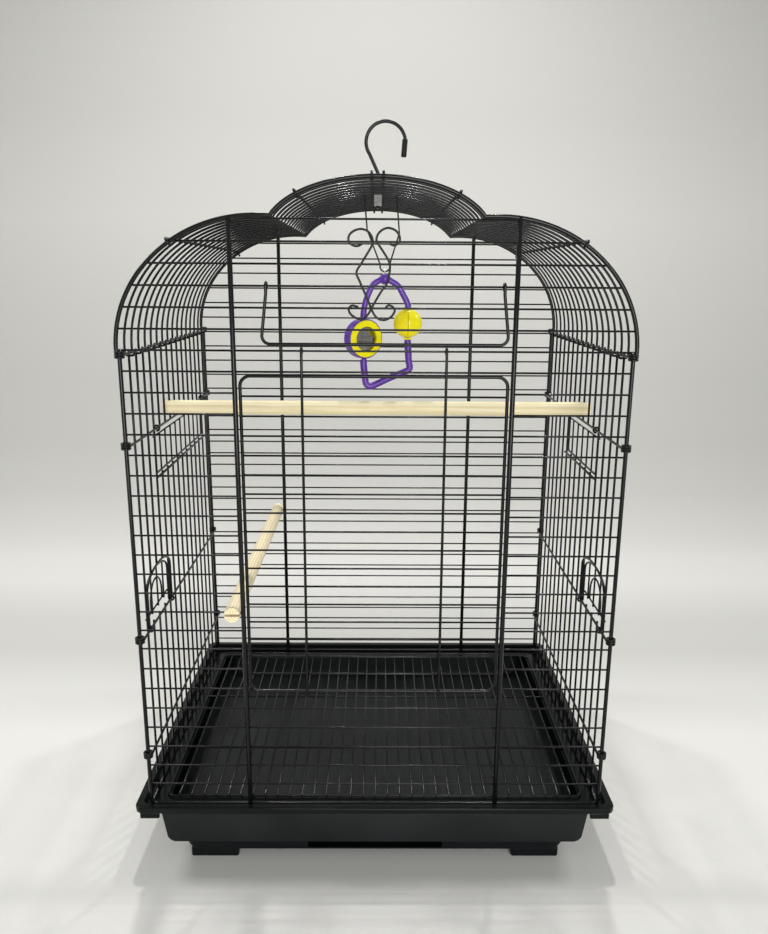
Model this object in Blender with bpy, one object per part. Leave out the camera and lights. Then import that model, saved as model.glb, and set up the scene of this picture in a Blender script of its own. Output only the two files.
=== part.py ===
"""Bird cage: a black wire cage with a scalloped dome on a plastic base.

Metres, +Z up. The origin is on the floor under the middle of the cage, and the
front, with the large door, faces -Y. Each panel is a welded grid of wires that
sink a little into each other where they cross, and separate pieces keep a small gap.
"""
import math

import bmesh
import bpy
from mathutils import Matrix, Vector

# The wire cage: post to post, front panel to back panel.
CAGE_WIDTH = 0.440
CAGE_DEPTH = 0.330
RAIL_Z = 0.060
GAP = 0.0003
SINK = 0.8
THIN_STEPS = 0
ROUND_STEPS = 1
SHARP_TURN = 35.0
EDGE_TURN = 1.2
MARKER_SIZE = 0.02
CUT_OVER = 0.002

# Wire sizes, as radii.
POST_R = 0.0019
THICK_POST_R = 0.0022
ROW_R = 0.0009
WIRE_R = 0.0011
ROD_R = 0.0012
DOOR_FRAME_R = 0.0015
UPRIGHT_R = 0.00125
BAIL_R = 0.0014
SCROLL_R = 0.0010
FLAP_R = 0.0011
FLAP_BAR_R = 0.0009

# Rows of the front panel, counted up from the bottom rail.
LOW_ROWS = 8
LOW_PITCH = 0.0206
DOOR_ROWS = 14
DOOR_PITCH = 0.0186
TOP_ROWS = 7
TOP_PITCH = 0.01807
LAST_ROW_UNDER_DOOR = 5

# Rows of the back panel.
BACK_LOW_ROWS = 20
BACK_LOW_PITCH = 0.01554
BACK_TOP_PITCH = 0.0180

# Wires of the side panels and the dome.
SIDE_GAPS = 16
SEAM_DROP = 0.0038
ROD_A_DROP = 0.0800
ROD_B_DROP = 0.0484
ROD_C_RISE = 0.1746
ROD_D_RISE = 0.0543
RING_SWEEP = 250.0
RING_STEPS = 6
BOTTOM_CORNER = 0.006
DOME_SHIFT = 2 * WIRE_R + GAP
DOME_HOOK_STEPS = 2
ROD_HOOK_STEPS = 7
DOME_SHOULDER_STEPS = (3, 2)
DOME_CROWN_STEPS = (1, 2)

# The scalloped arch: two shoulders and a raised middle, each part of an ellipse.
SHOULDER_IN = 0.120
SHOULDER_RISE = 0.1111
ARCH_BULGE = 0.0026
NOTCH_IN = 0.011
CROWN_SPREAD = 0.0061
CROWN_RISE = 0.0481
FRAME_STEPS = 10

# Rods and rails that lie along the dome.
LOW_ROD_IN = 0.047
HIGH_ROD_IN = 0.022
CREST_RAIL_X = 0.0048
HOOK_OVER_SWEEP = 180.0

# The large front door.
BAY_X = -0.0025
THICK_POST_IN = 0.09975
DOOR_SIDE_GAP = 0.00055
DOOR_TOP_GAP = 0.0012
DOOR_SILL = 0.0188
DOOR_CORNER = 0.009
DOOR_CORNER_STEPS = 4
DOOR_BARS = 16
UPRIGHT_IN = 0.0537
UPRIGHT_TAIL = 0.004
EYE_SWEEP = 270.0
EYE_STEPS = 6

# The bail that hangs over the door, and the scroll above it: places across and down
# from its top along the two hand-bent wires.
BAIL_SHIFT = 0.0094
BAIL_TOP_IN = 0.01975
BAIL_BOTTOM_IN = 0.01505
BAIL_ROW = 26
BAIL_DROP = 0.0481
BAIL_CORNER = 0.007
BAIL_KNEE = 0.006
BAIL_LEAN = 0.0006
SCROLL_DROP = 0.0407
SCROLL_CURVE_LEFT = (
    (-0.0128, 0.0124), (-0.0153, 0.0140), (-0.0187, 0.0142), (-0.0222, 0.0126), (-0.0240, 0.0091),
    (-0.0230, 0.0052), (-0.0194, 0.0022), (-0.0144, 0.0007), (-0.0096, 0.0016), (-0.0062, 0.0043),
    (-0.0044, 0.0077), (-0.0038, 0.0112), (-0.0057, 0.0159), (-0.0128, 0.0273), (-0.0174, 0.0354), (-0.0148, 0.0426),
    (-0.0074, 0.0592), (-0.0038, 0.0678), (-0.0001, 0.0728), (0.0057, 0.0746), (0.0116, 0.0720),
    (0.0148, 0.0670), (0.0129, 0.0634), (0.0093, 0.0624), (0.0072, 0.0642),
)
SCROLL_CURVE_RIGHT = (
    (0.0105, 0.0126), (0.0138, 0.0137), (0.0169, 0.0122), (0.0185, 0.0092), (0.0179, 0.0055),
    (0.0151, 0.0020), (0.0112, 0.0002), (0.0075, 0.0), (0.0034, 0.0018), (0.0004, 0.0049),
    (-0.0008, 0.0087), (0.0, 0.0117), (0.0021, 0.0147), (0.0095, 0.0262), (0.0104, 0.0335), (0.0082, 0.0442),
    (0.0034, 0.0509), (-0.0033, 0.0620), (-0.0077, 0.0697), (-0.0132, 0.0742), (-0.0213, 0.0707),
    (-0.0240, 0.0657), (-0.0212, 0.0626), (-0.0162, 0.0636),
)

# Small flap doors in the side panels, placed by side wires.
LOW_FLAP_FIRST = 1
LOW_FLAP_LAST = 5
LOW_FLAP_TOP = 0.0500
LOW_FLAP_SHOULDER = 0.0340
FLAP_SIDE_GAP = 0.0011
FLAP_BAR_RISE = 0.0090
CUP_ARCH_HALF = 0.0195
CUP_ARCH_TOP = 0.0370
HIGH_FLAP_FIRST = 4
HIGH_FLAP_LAST_LEFT = 14
HIGH_FLAP_LAST_RIGHT = 10
ARCH_LEAD = 0.0040
ARCH_STEPS = 10
FLAP_CORNER = 0.004

# Perches.
PERCH_R = 0.0074
LONG_PERCH_WIRE = 7
LONG_PERCH_RISE = 0.0113
PERCH_GRIP = 0.0060
PERCH_SLOT_DEPTH = 0.0095
SHORT_PERCH_ROW = 10
PERCH_CHAMFER = 0.0008
PERCH_SLOT_GAP = 0.0003
PERCH_SIDES = 20

# Plastic base: inner sizes are drawn in from the cage's posts, depths out from its panels.
RIM_OUT = 0.0138
RIM_LIP = 0.0055
RIM_HEIGHT = 0.0060
RIM_RISE = 0.0042
RIM_SEAT = 0.0065
LEDGE_IN = 0.0150
LEDGE_THICK = 0.0030
BASE_CORNER = 0.009
BASE_MIN_CORNER = 0.006
RIM_CHAMFER = 0.0012
BODY_ROUND = 0.0040
STEP_DRAFT = 0.0010
BODY_TOP_IN = 0.0111
BODY_LOW_IN = 0.0150
BODY_DEPTH_OUT = 0.0075
BODY_WALL = 0.0025
FLOOR_Z = 0.0270
FLOOR_THICK = 0.0025
STEP_TOP_IN = 0.0297
STEP_LOW_IN = 0.0360
STEP_DEPTH_OUT = 0.0030
STEP_TOP_Z = 0.0215
FOOT_HEIGHT = 0.0090
FOOT_LENGTH = 0.0474
FOOT_DEPTH = 0.0220
FOOT_INSET = 0.0004
FOOT_ROOT = 0.0020
SLOT_DEPTH = 0.0150
SLOT_HALF = 0.0668
SLOT_LOW_Z = 0.0113
SLOT_HIGH_Z = 0.0197
CLIP_IN = 0.0145
CLIP_WIDTH = 0.0185
CLIP_HEIGHT = 0.0065
CLIP_INSET = 0.0015
CLIP_ROUND = 0.0008

# Pull-out tray.
FASCIA_THICK = 0.0050
FASCIA_CORNER = 0.0090
TRAY_GAP = 0.0005
TRAY_SIDE_GAP = 0.0022
TRAY_WALL = 0.0020
TRAY_TOP_Z = 0.0510
TRAY_BACK_IN = 0.0125
TRAY_CORNER = 0.0120
TRAY_ROUND = 0.0015

# Floor grille.
GRILLE_R = 0.0010
GRILLE_OVERLAP = 0.0030
GRILLE_PITCH = 0.0123
GRILLE_CORNER = 0.0080
CORNER_STEPS = 3
KNEE_STEPS = 4
GRILLE_CROSS = (0.275, 0.630)

# Ceiling hook on the crown of the dome.
HOOK_R = 0.00175
HOOK_Y = -0.0078
HOOK_RISE = 0.0548
HOOK_BEND = 0.0195
SLEEVE_R = 0.0027
SLEEVE_LENGTH = 0.0160
STRAP_HALF = 0.0285
STRAP_WIDTH = 0.0120
STRAP_THICK = 0.0012
BLOCK_HALF = 0.0056
BLOCK_HEIGHT = 0.0085
NUT_R = 0.0044
NUT_HEIGHT = 0.0120
STEM_DROP = 0.0014
BLOCK_CHAMFER = 0.0007
HOOK_CENTRE_X = 0.0075
HOOK_START = 215.0
HOOK_END = 10.0
HOOK_STEM = 0.0060
HOOK_TIP_LEAN = -0.0012
SLEEVE_START = 0.0004
SLEEVE_END = 0.0012
HOOK_BEND_STEPS = 18
NUT_SIDES = 6
BORE_SIDES = 12

# Hanging toy.
TOY_WIRE = 8
TOY_LEFT_X = -0.0139
TOY_RIGHT_X = 0.0191
HANGER_R = 0.0008
HANGER_LOOP_X = 0.0075
HANGER_LOOP_R = 0.0050
HANGER_KNEE = 0.0030
HANGER_KNEE_DROP = 0.0335
HANGER_LOOP_START = 160.0
HANGER_LOOP_END = 380.0
HANGER_LOOP_STEPS = 6
TOY_DROP = 0.0822
TOY_BEAD_R = 0.0049
TOY_BEAD_TAPER = 0.8
TOY_ARM_R = 0.0026
TOY_BAR_R = 0.0036
TOY_AXLE_R = 0.0015
TOY_EYE_R = 0.0026
TOY_EYE_WIRE_R = 0.0007
TOY_EYE_DROP = 0.0009
TOY_EYE_START = -45.0
TOY_EYE_END = 225.0
TOY_EYE_STEPS = 10
BALL_X = 0.0319
BALL_DROP = 0.0453
BALL_R = 0.0151
BALL_SEAM_TURN = 1.0
BALL_STEPS = 8
COLLAR_R = 0.0042
COLLAR_HEIGHT = 0.0016
DRUM_X = -0.0150
DRUM_DROP = 0.0616
DRUM_R = 0.0208
DRUM_THICK = 0.0120
DRUM_TURN = 34.0
DRUM_ROUND = 0.0015
DRUM_RECESS_R = 0.0172
DRUM_RECESS = 0.0032
MIRROR_R = 0.0126
MIRROR_THICK = 0.0020
TOY_RING_THICK = 0.0038
AXLE_GAP = 0.0003
COLLAR_SIDES = 16
DRUM_SIDES = 22
DRUM_ROUND_STEPS = 2

# Bends of the toy's frame, across and up: from its bead, from the ball's top and foot,
# from the drum's middle, and from the drum's foot and top.
TOY_BEAD_BENDS = ((0.0027, -0.0003), (0.0050, -0.0013))
TOY_RIGHT_ARM = (0.0140, -0.0072)
TOY_BALL_BENDS = ((-0.0035, 0.0136), (-0.0004, 0.0050), (0.0, 0.0010))
TOY_LEFT_ARM = (-0.0120, -0.0058)
TOY_ELBOW = ((0.0016, -0.0237), (0.0030, -0.0290), (0.0005, -0.0335))
TOY_HEEL = ((0.0090, -0.0500), (0.0040, -0.0490), (0.0020, -0.0430))
TOY_DRUM_BENDS = ((0.0012, 0.0330), (0.0050, 0.0454))
TOY_STOP = 0.0006
TOY_STOP_GAP = 0.0004
TOY_FOOT_GAP = 0.0010
TOY_DRUM_GAP = 0.0008

# Places that follow from the sizes above.
HALF_WIDTH = CAGE_WIDTH / 2
FRONT_Y = -CAGE_DEPTH / 2
BACK_Y = CAGE_DEPTH / 2
SIDE_PITCH = CAGE_DEPTH / SIDE_GAPS
ROW_FRONT_Y = FRONT_Y + SINK * (POST_R + ROW_R)
ROW_BACK_Y = BACK_Y + SINK * (POST_R + ROW_R)
THICK_FRONT_Y = ROW_FRONT_Y - SINK * (ROW_R + THICK_POST_R)
THICK_BACK_Y = ROW_BACK_Y - ROW_R - GAP - THICK_POST_R
DOOR_ROW = LOW_ROWS + DOOR_ROWS
HINGE_ROW = DOOR_ROW + 1
RING_R = POST_R + GAP + ROD_R
ROD_X = HALF_WIDTH - RING_R
SIDE_WIRE_X = ROD_X + SINK * (ROD_R + WIRE_R)
FLAP_X = ROD_X + ROD_R + GAP + FLAP_R
FLAP_BAR_X = FLAP_X + SINK * (FLAP_R + FLAP_BAR_R)
SHOULDER_X = HALF_WIDTH - SHOULDER_IN
NOTCH_X = SHOULDER_X - NOTCH_IN
CROWN_HALF = NOTCH_X + CROWN_SPREAD
LOW_ROD_X = HALF_WIDTH - LOW_ROD_IN
HIGH_ROD_X = NOTCH_X - HIGH_ROD_IN
THICK_POST_X = HALF_WIDTH - THICK_POST_IN
DOOR_HALF = THICK_POST_X - THICK_POST_R - DOOR_SIDE_GAP - DOOR_FRAME_R
UPRIGHT_X = DOOR_HALF - UPRIGHT_IN
BAIL_X = BAY_X + BAIL_SHIFT
BAIL_TOP_HALF = THICK_POST_X - BAIL_TOP_IN
BAIL_BOTTOM_HALF = THICK_POST_X - BAIL_BOTTOM_IN
SHORT_PERCH_X = BAY_X - THICK_POST_X - THICK_POST_R - GAP - PERCH_R
SHOULDER_HALF = HALF_WIDTH + ARCH_BULGE - SHOULDER_X
LEDGE_Z = RAIL_Z - POST_R - GAP
RIM_TOP_Z = RAIL_Z + RIM_RISE
RIM_LOW_Z = RIM_TOP_Z - RIM_HEIGHT
RIM_X = HALF_WIDTH + RIM_OUT
RIM_Y = CAGE_DEPTH / 2 + RIM_OUT
UNDER_Z = LEDGE_Z - LEDGE_THICK
BODY_TOP_HALF = HALF_WIDTH - BODY_TOP_IN
BODY_LOW_HALF = HALF_WIDTH - BODY_LOW_IN
BODY_DEPTH_HALF = CAGE_DEPTH / 2 + BODY_DEPTH_OUT
STEP_TOP_HALF = HALF_WIDTH - STEP_TOP_IN
STEP_LOW_HALF = HALF_WIDTH - STEP_LOW_IN
STEP_DEPTH_HALF = CAGE_DEPTH / 2 + STEP_DEPTH_OUT
DOME_WIRE_OUT = POST_R - WIRE_R
FASCIA_TOP_Z = UNDER_Z - 2 * TRAY_GAP
BLACK = (0.013, 0.013, 0.014)


def row_z(row):
    """Height of a front row, counted up from the bottom rail."""
    low = min(row, LOW_ROWS)
    middle = min(max(row - LOW_ROWS, 0), DOOR_ROWS)
    top = max(row - DOOR_ROW, 0)
    return RAIL_Z + low * LOW_PITCH + middle * DOOR_PITCH + top * TOP_PITCH


def back_row_z(row):
    """Height of a back row, counted up from the bottom rail."""
    low = min(row, BACK_LOW_ROWS)
    return RAIL_Z + low * BACK_LOW_PITCH + (row - low) * BACK_TOP_PITCH


def side_y(index):
    """Place of a side wire, counted from the front."""
    return FRONT_Y + index * SIDE_PITCH


SPRING_Z = row_z(HINGE_ROW)
SEAM_Z = SPRING_Z - SEAM_DROP
ROD_A_Z = SEAM_Z - ROD_A_DROP
ROD_B_Z = ROD_A_Z - ROD_B_DROP
ROD_C_Z = RAIL_Z + ROD_C_RISE
ROD_D_Z = RAIL_Z + ROD_D_RISE
LONG_PERCH_Z = ROD_A_Z + LONG_PERCH_RISE
DOOR_TOP_Z = row_z(DOOR_ROW) - ROW_R - DOOR_TOP_GAP - DOOR_FRAME_R
DOOR_BOTTOM_Z = row_z(LAST_ROW_UNDER_DOOR) + DOOR_SILL
HINGE_Y = ROW_FRONT_Y
NOTCH_Z = SPRING_Z + SHOULDER_RISE * math.sqrt(1 - ((SHOULDER_X - NOTCH_X) / SHOULDER_HALF) ** 2)
CROWN_Z = NOTCH_Z - CROWN_RISE * math.sqrt(1 - (NOTCH_X / CROWN_HALF) ** 2)
SCROLL_TOP_Z = CROWN_Z + CROWN_RISE - SCROLL_DROP


def arch_z(x):
    """Height of the arch's centre line over a place across the cage."""
    reach = abs(x)
    if reach < NOTCH_X:
        return CROWN_Z + CROWN_RISE * math.sqrt(1 - (reach / CROWN_HALF) ** 2)
    along = min((reach - SHOULDER_X) / SHOULDER_HALF, 1.0)
    return SPRING_Z + SHOULDER_RISE * math.sqrt(1 - along ** 2)


def arch_half(z):
    """Half the arch's width at a height on its shoulders."""
    if z <= SPRING_Z:
        return HALF_WIDTH
    rise = min((z - SPRING_Z) / SHOULDER_RISE, 1.0)
    return SHOULDER_X + SHOULDER_HALF * math.sqrt(1 - rise ** 2)


def arch_normal(x):
    """Direction square to the arch, away from the cage."""
    step = 0.0001
    slope = (arch_z(x + step) - arch_z(x - step)) / (2 * step)
    return Vector((-slope, 0, 1)).normalized()


def turns_through(stops, counts):
    """Angles that pass through every stop, with even steps between one and the next."""
    turns = [stops[0]]
    for start, end, count in zip(stops, stops[1:], counts):
        turns.extend(start + (end - start) * step / count for step in range(1, count + 1))
    return turns


def arch_points(shoulder_stops, shoulder_counts, crown_stops, crown_counts, out=0.0):
    """The arch's outline as (x, z) pairs from left to right, through places given across it."""
    turns = [math.asin(min((x - SHOULDER_X) / SHOULDER_HALF, 1.0)) for x in (*shoulder_stops, NOTCH_X)]
    right = []
    for turn in turns_through(turns, shoulder_counts):
        normal = Vector((SHOULDER_RISE * math.sin(turn), SHOULDER_HALF * math.cos(turn))).normalized()
        right.append((SHOULDER_X + SHOULDER_HALF * math.sin(turn) + out * normal.x,
                      SPRING_Z + SHOULDER_RISE * math.cos(turn) + out * normal.y))
    turns = [math.asin(x / CROWN_HALF) for x in (NOTCH_X, *crown_stops)]
    for turn in turns_through(turns, crown_counts)[1:]:
        normal = Vector((CROWN_RISE * math.sin(turn), CROWN_HALF * math.cos(turn))).normalized()
        right.append((CROWN_HALF * math.sin(turn) + out * normal.x,
                      CROWN_Z + CROWN_RISE * math.cos(turn) + out * normal.y))
    left = [(-x, z) for x, z in right if x > 0]
    return left + right[::-1]


def arc(centre, first, second, radius, start, end, steps):
    """Points round a centre, in the plane of two directions, between two angles."""
    points = []
    for step in range(steps + 1):
        turn = math.radians(start + (end - start) * step / steps)
        points.append(Vector(centre) + radius * (math.cos(turn) * Vector(first)
                                                 + math.sin(turn) * Vector(second)))
    return points


def rounded(points, radius, steps, closed=False):
    """A run of points with its corners rounded to a radius."""
    corners = [Vector(point) for point in points]
    count = len(corners)
    result = []
    for index, corner in enumerate(corners):
        if not closed and index in (0, count - 1):
            result.append(corner)
            continue
        back = (corners[index - 1] - corner).normalized()
        ahead = (corners[(index + 1) % count] - corner).normalized()
        half = back.angle(ahead) / 2
        centre = corner + (back + ahead).normalized() * (radius / math.sin(half))
        start = corner + back * (radius / math.tan(half)) - centre
        end = corner + ahead * (radius / math.tan(half)) - centre
        sweep = start.angle(end)
        for step in range(steps + 1):
            share = step / steps
            spoke = (start * math.sin((1 - share) * sweep) + end * math.sin(share * sweep))
            result.append(centre + spoke / math.sin(sweep))
    return result


def clear_scene():
    for item in list(bpy.data.objects):
        bpy.data.objects.remove(item, do_unlink=True)


def new_collection(name):
    collection = bpy.data.collections.new(name)
    bpy.context.scene.collection.children.link(collection)
    return collection


def new_material(name, colour, roughness, metallic=0.0):
    material = bpy.data.materials.new(name)
    material.use_nodes = True
    shader = material.node_tree.nodes["Principled BSDF"]
    shader.inputs["Base Color"].default_value = (*colour, 1.0)
    shader.inputs["Roughness"].default_value = roughness
    shader.inputs["Metallic"].default_value = metallic
    return material


def place(item, material, parent=None):
    """Link an object, give it its finish and hang it on its joint's empty."""
    item.data.materials.append(material)
    PARTS.objects.link(item)
    if parent is not None:
        item.parent = parent
        item.matrix_parent_inverse = Matrix.Translation(-Vector(parent.location))
    return item


def joint(name, location):
    """An empty on a joint's axis."""
    empty = bpy.data.objects.new(name, None)
    empty.location = location
    empty.empty_display_size = MARKER_SIZE
    PARTS.objects.link(empty)
    return empty


def wire_mesh(runs, radius, closed=False, widths=None, section=ROUND_STEPS):
    """Bent wires of one radius as a builder, each run a wire of its own."""
    curve = bpy.data.curves.new("wire", "CURVE")
    curve.dimensions = "3D"
    curve.bevel_depth = radius
    curve.bevel_resolution = section
    curve.use_fill_caps = True
    for run in runs:
        spline = curve.splines.new("POLY")
        spline.points.add(len(run) - 1)
        for index, spot in enumerate(run):
            spline.points[index].co = (*spot, 1.0)
            if widths is not None:
                spline.points[index].radius = widths[index] / radius
        spline.use_cyclic_u = closed
    item = bpy.data.objects.new("wire", curve)
    CUTTERS.objects.link(item)
    solid = item.evaluated_get(bpy.context.evaluated_depsgraph_get())
    mesh = bpy.data.meshes.new_from_object(solid)
    builder = bmesh.new()
    builder.from_mesh(mesh)
    bmesh.ops.remove_doubles(builder, verts=builder.verts[:], dist=1e-6)
    bpy.data.objects.remove(item)
    bpy.data.curves.remove(curve)
    bpy.data.meshes.remove(mesh)
    return builder


def wire(name, run, radius, material, closed=False, parent=None, widths=None, section=ROUND_STEPS):
    """One bent wire."""
    return mesh_from(wire_mesh([run], radius, closed, widths, section), name, material, parent)


def welded(name, frame, groups, material, parent=None):
    """A frame wire with groups of wires welded on: runs, radius and section of each."""
    run, radius, closed = frame
    item = mesh_from(wire_mesh([run], radius, closed), name, material, parent)
    grid = bmesh.new()
    for runs, group_radius, section in groups:
        part = wire_mesh(runs, group_radius, section=section)
        part.to_mesh(SCRATCH)
        part.free()
        grid.from_mesh(SCRATCH)
    boolean(item, cutter(name + "_grid", grid), "UNION")
    item.modifiers[0].use_self = True
    return item


def mesh_from(builder, name, material, parent=None):
    """Turn a bmesh into a finished object."""
    bmesh.ops.recalc_face_normals(builder, faces=builder.faces[:])
    mesh = bpy.data.meshes.new(name)
    builder.to_mesh(mesh)
    builder.free()
    mesh.shade_smooth()
    mesh.set_sharp_from_angle(angle=math.radians(SHARP_TURN))
    return place(bpy.data.objects.new(name, mesh), material, parent)


def add_cylinder(builder, radius, low, high, matrix, sides=24):
    """A closed cylinder between two heights, then turned and moved."""
    shape = bmesh.ops.create_cone(builder, cap_ends=True, segments=sides, radius1=radius,
                                  radius2=radius, depth=high - low)
    bmesh.ops.translate(builder, verts=shape["verts"], vec=(0, 0, (low + high) / 2))
    bmesh.ops.transform(builder, verts=shape["verts"], matrix=matrix)
    return shape["verts"]


def add_box(builder, low, high):
    shape = bmesh.ops.create_cube(builder, size=1.0)
    centre = (Vector(low) + Vector(high)) / 2
    size = Vector(high) - Vector(low)
    bmesh.ops.scale(builder, verts=shape["verts"], vec=size)
    bmesh.ops.translate(builder, verts=shape["verts"], vec=centre)
    return shape["verts"]


def cutter_box(name, low, high):
    builder = bmesh.new()
    add_box(builder, low, high)
    return cutter(name, builder)


def cutter_cylinder(name, radius, low, high, matrix, sides=16):
    builder = bmesh.new()
    add_cylinder(builder, radius, low, high, matrix, sides)
    return cutter(name, builder)


def cutter(name, builder):
    mesh = bpy.data.meshes.new(name)
    builder.to_mesh(mesh)
    builder.free()
    item = bpy.data.objects.new(name, mesh)
    item.hide_render = True
    item.display_type = "WIRE"
    CUTTERS.objects.link(item)
    return item


def boolean(item, tool, operation="DIFFERENCE"):
    change = item.modifiers.new(tool.name, "BOOLEAN")
    change.operation = operation
    change.solver = "EXACT"
    change.object = tool


def rounded_loop(builder, half_x, low_y, high_y, corner, z, steps):
    """One ring of vertices round a rectangle with rounded corners."""
    ring = []
    spots = ((half_x, high_y, 0), (-half_x, high_y, 90), (-half_x, low_y, 180), (half_x, low_y, 270))
    for x, y, start in spots:
        centre = (x - math.copysign(corner, x), y - math.copysign(corner, y - (low_y + high_y) / 2), z)
        for spot in arc(centre, (1, 0, 0), (0, 1, 0), corner, start, start + 90, steps):
            ring.append(builder.verts.new(spot))
    return ring


def stacked_shell(sections, steps=4):
    """A closed shell through a stack of rounded rectangles, capped at both ends."""
    builder = bmesh.new()
    rings = [rounded_loop(builder, *section, steps) for section in sections]
    builder.faces.new(rings[0])
    builder.faces.new(rings[-1])
    for lower, upper in zip(rings, rings[1:]):
        for index in range(len(lower)):
            builder.faces.new((lower[index - 1], lower[index], upper[index], upper[index - 1]))
    return builder


def frame_arch(y):
    """The scalloped arch with the tops of the corner posts that it springs from."""
    spring = HALF_WIDTH + ARCH_BULGE
    outline = arch_points((spring,), (FRAME_STEPS,), (0.0,), (FRAME_STEPS // 2,))
    arch = [(x, y, z) for x, z in outline[1:-1]]
    shoulder_z = SEAM_Z + ROD_R + 2 * GAP
    return [(-HALF_WIDTH, y, shoulder_z)] + arch + [(HALF_WIDTH, y, shoulder_z)]


def frame_foot(y, high):
    """Corner posts up to a height and the bottom rail between them, from the right."""
    corners = [(HALF_WIDTH, y, high), (HALF_WIDTH, y, RAIL_Z), (-HALF_WIDTH, y, RAIL_Z),
               (-HALF_WIDTH, y, high)]
    return rounded(corners, BOTTOM_CORNER, CORNER_STEPS)


def front_rows(first, last, start=None, end=None):
    """Rows of the front between two of them, from post to post or between given places."""
    runs = []
    for row in range(first, last + 1):
        z = row_z(row)
        left = -arch_half(z) if start is None else start
        right = arch_half(z) if end is None else end
        runs.append([(left, ROW_FRONT_Y, z), (right, ROW_FRONT_Y, z)])
    return runs


def front_posts(low, high):
    """The front's two thick posts between two heights, the upper one up to the arch."""
    xs = [BAY_X + side * THICK_POST_X for side in (-1, 1)]
    return [[(x, THICK_FRONT_Y, low), (x, THICK_FRONT_Y, min(high, arch_z(x)))] for x in xs]


def front_panel(material):
    """Front in four grids, under, beside and over the doorway, which meet at its corners."""
    sill = (row_z(LAST_ROW_UNDER_DOOR) + DOOR_BOTTOM_Z - UPRIGHT_TAIL) / 2
    head = (DOOR_TOP_Z + DOOR_FRAME_R + row_z(DOOR_ROW) - ROW_R) / 2
    low = sill - GAP / 2
    welded("front_low_grid", (frame_foot(FRONT_Y, low), POST_R, False),
           [(front_posts(RAIL_Z, low), THICK_POST_R, ROUND_STEPS),
            (front_rows(1, LAST_ROW_UNDER_DOOR), ROW_R, THIN_STEPS)], material)
    for word, side in (("left", -1), ("right", 1)):
        post = [(side * HALF_WIDTH, FRONT_Y, z) for z in (sill + GAP / 2, head - GAP / 2)]
        posts = front_posts(sill + GAP / 2, head - GAP / 2)
        inner = BAY_X + side * THICK_POST_X
        span = (None, inner) if side < 0 else (inner, None)
        welded("front_" + word + "_grid", (post, POST_R, False),
               [([posts[0 if side < 0 else 1]], THICK_POST_R, ROUND_STEPS),
                (front_rows(LAST_ROW_UNDER_DOOR + 1, DOOR_ROW - 1, *span), ROW_R, THIN_STEPS)], material)
    high = head + GAP / 2
    arch = [(-HALF_WIDTH, FRONT_Y, high)] + frame_arch(FRONT_Y) + [(HALF_WIDTH, FRONT_Y, high)]
    welded("front_top_grid", (arch, POST_R, False),
           [(front_posts(high, CROWN_Z + CROWN_RISE), THICK_POST_R, ROUND_STEPS),
            (front_rows(DOOR_ROW, DOOR_ROW + TOP_ROWS), ROW_R, THIN_STEPS)], material)


def back_panel(material):
    """Back frame, posts and rows."""
    runs = []
    row = 1
    while back_row_z(row) < SPRING_Z + SHOULDER_RISE - 2 * ROW_R:
        z = back_row_z(row)
        half = arch_half(z)
        runs.append([(-half, ROW_BACK_Y, z), (half, ROW_BACK_Y, z)])
        row += 1
    frame = frame_arch(BACK_Y) + frame_foot(BACK_Y, SEAM_Z)[1:-1]
    xs = [BAY_X + side * THICK_POST_X for side in (-1, 1)]
    posts = [[(x, THICK_BACK_Y, RAIL_Z), (x, THICK_BACK_Y, arch_z(x))] for x in xs]
    return welded("back_panel", (frame, POST_R, True),
                  [(posts, THICK_POST_R, ROUND_STEPS), (runs, ROW_R, THIN_STEPS)], material)


def low_flap_z(share):
    """Height over rod C of the low flap's arch, from its middle (0) to its legs (1)."""
    return LOW_FLAP_SHOULDER + (LOW_FLAP_TOP - LOW_FLAP_SHOULDER) * math.sqrt(max(1 - share ** 2, 0))


def side_wires(side, high_last):
    """Side wires, left open behind the two small flap doors."""
    middle = (LOW_FLAP_FIRST + LOW_FLAP_LAST) / 2
    reach = (LOW_FLAP_LAST - LOW_FLAP_FIRST) / 2
    runs = []
    for index in range(1, SIDE_GAPS):
        stretches = [RAIL_Z, SEAM_Z + ROD_R]
        if LOW_FLAP_FIRST < index < LOW_FLAP_LAST:
            share = abs(index - middle) / reach
            stretches[1:1] = [ROD_C_Z + ROD_R, ROD_C_Z + low_flap_z(share) + ARCH_LEAD - WIRE_R]
        if HIGH_FLAP_FIRST < index < high_last:
            stretches[-1:-1] = [ROD_B_Z + ROD_R, ROD_A_Z - ROD_R]
        for low, high in zip(stretches[::2], stretches[1::2]):
            runs.append([(side * SIDE_WIRE_X, side_y(index), z) for z in (low, high)])
    return runs


def side_rods(side, high_last):
    """Rods along a side, ringed round the corner posts, and the high opening's sill."""
    runs = []
    inward = (-side, 0, 0)
    for z in (SEAM_Z, ROD_D_Z, ROD_C_Z, ROD_A_Z):
        front = arc((side * HALF_WIDTH, FRONT_Y, z), inward, (0, -1, 0), RING_R, RING_SWEEP, 0, RING_STEPS)
        back = arc((side * HALF_WIDTH, BACK_Y, z), inward, (0, 1, 0), RING_R, 0, RING_SWEEP, RING_STEPS)
        runs.append(front + back)
    x = side * ROD_X
    runs.append([(x, side_y(HIGH_FLAP_FIRST) - WIRE_R, ROD_B_Z), (x, side_y(high_last) + WIRE_R, ROD_B_Z)])
    return runs


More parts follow.
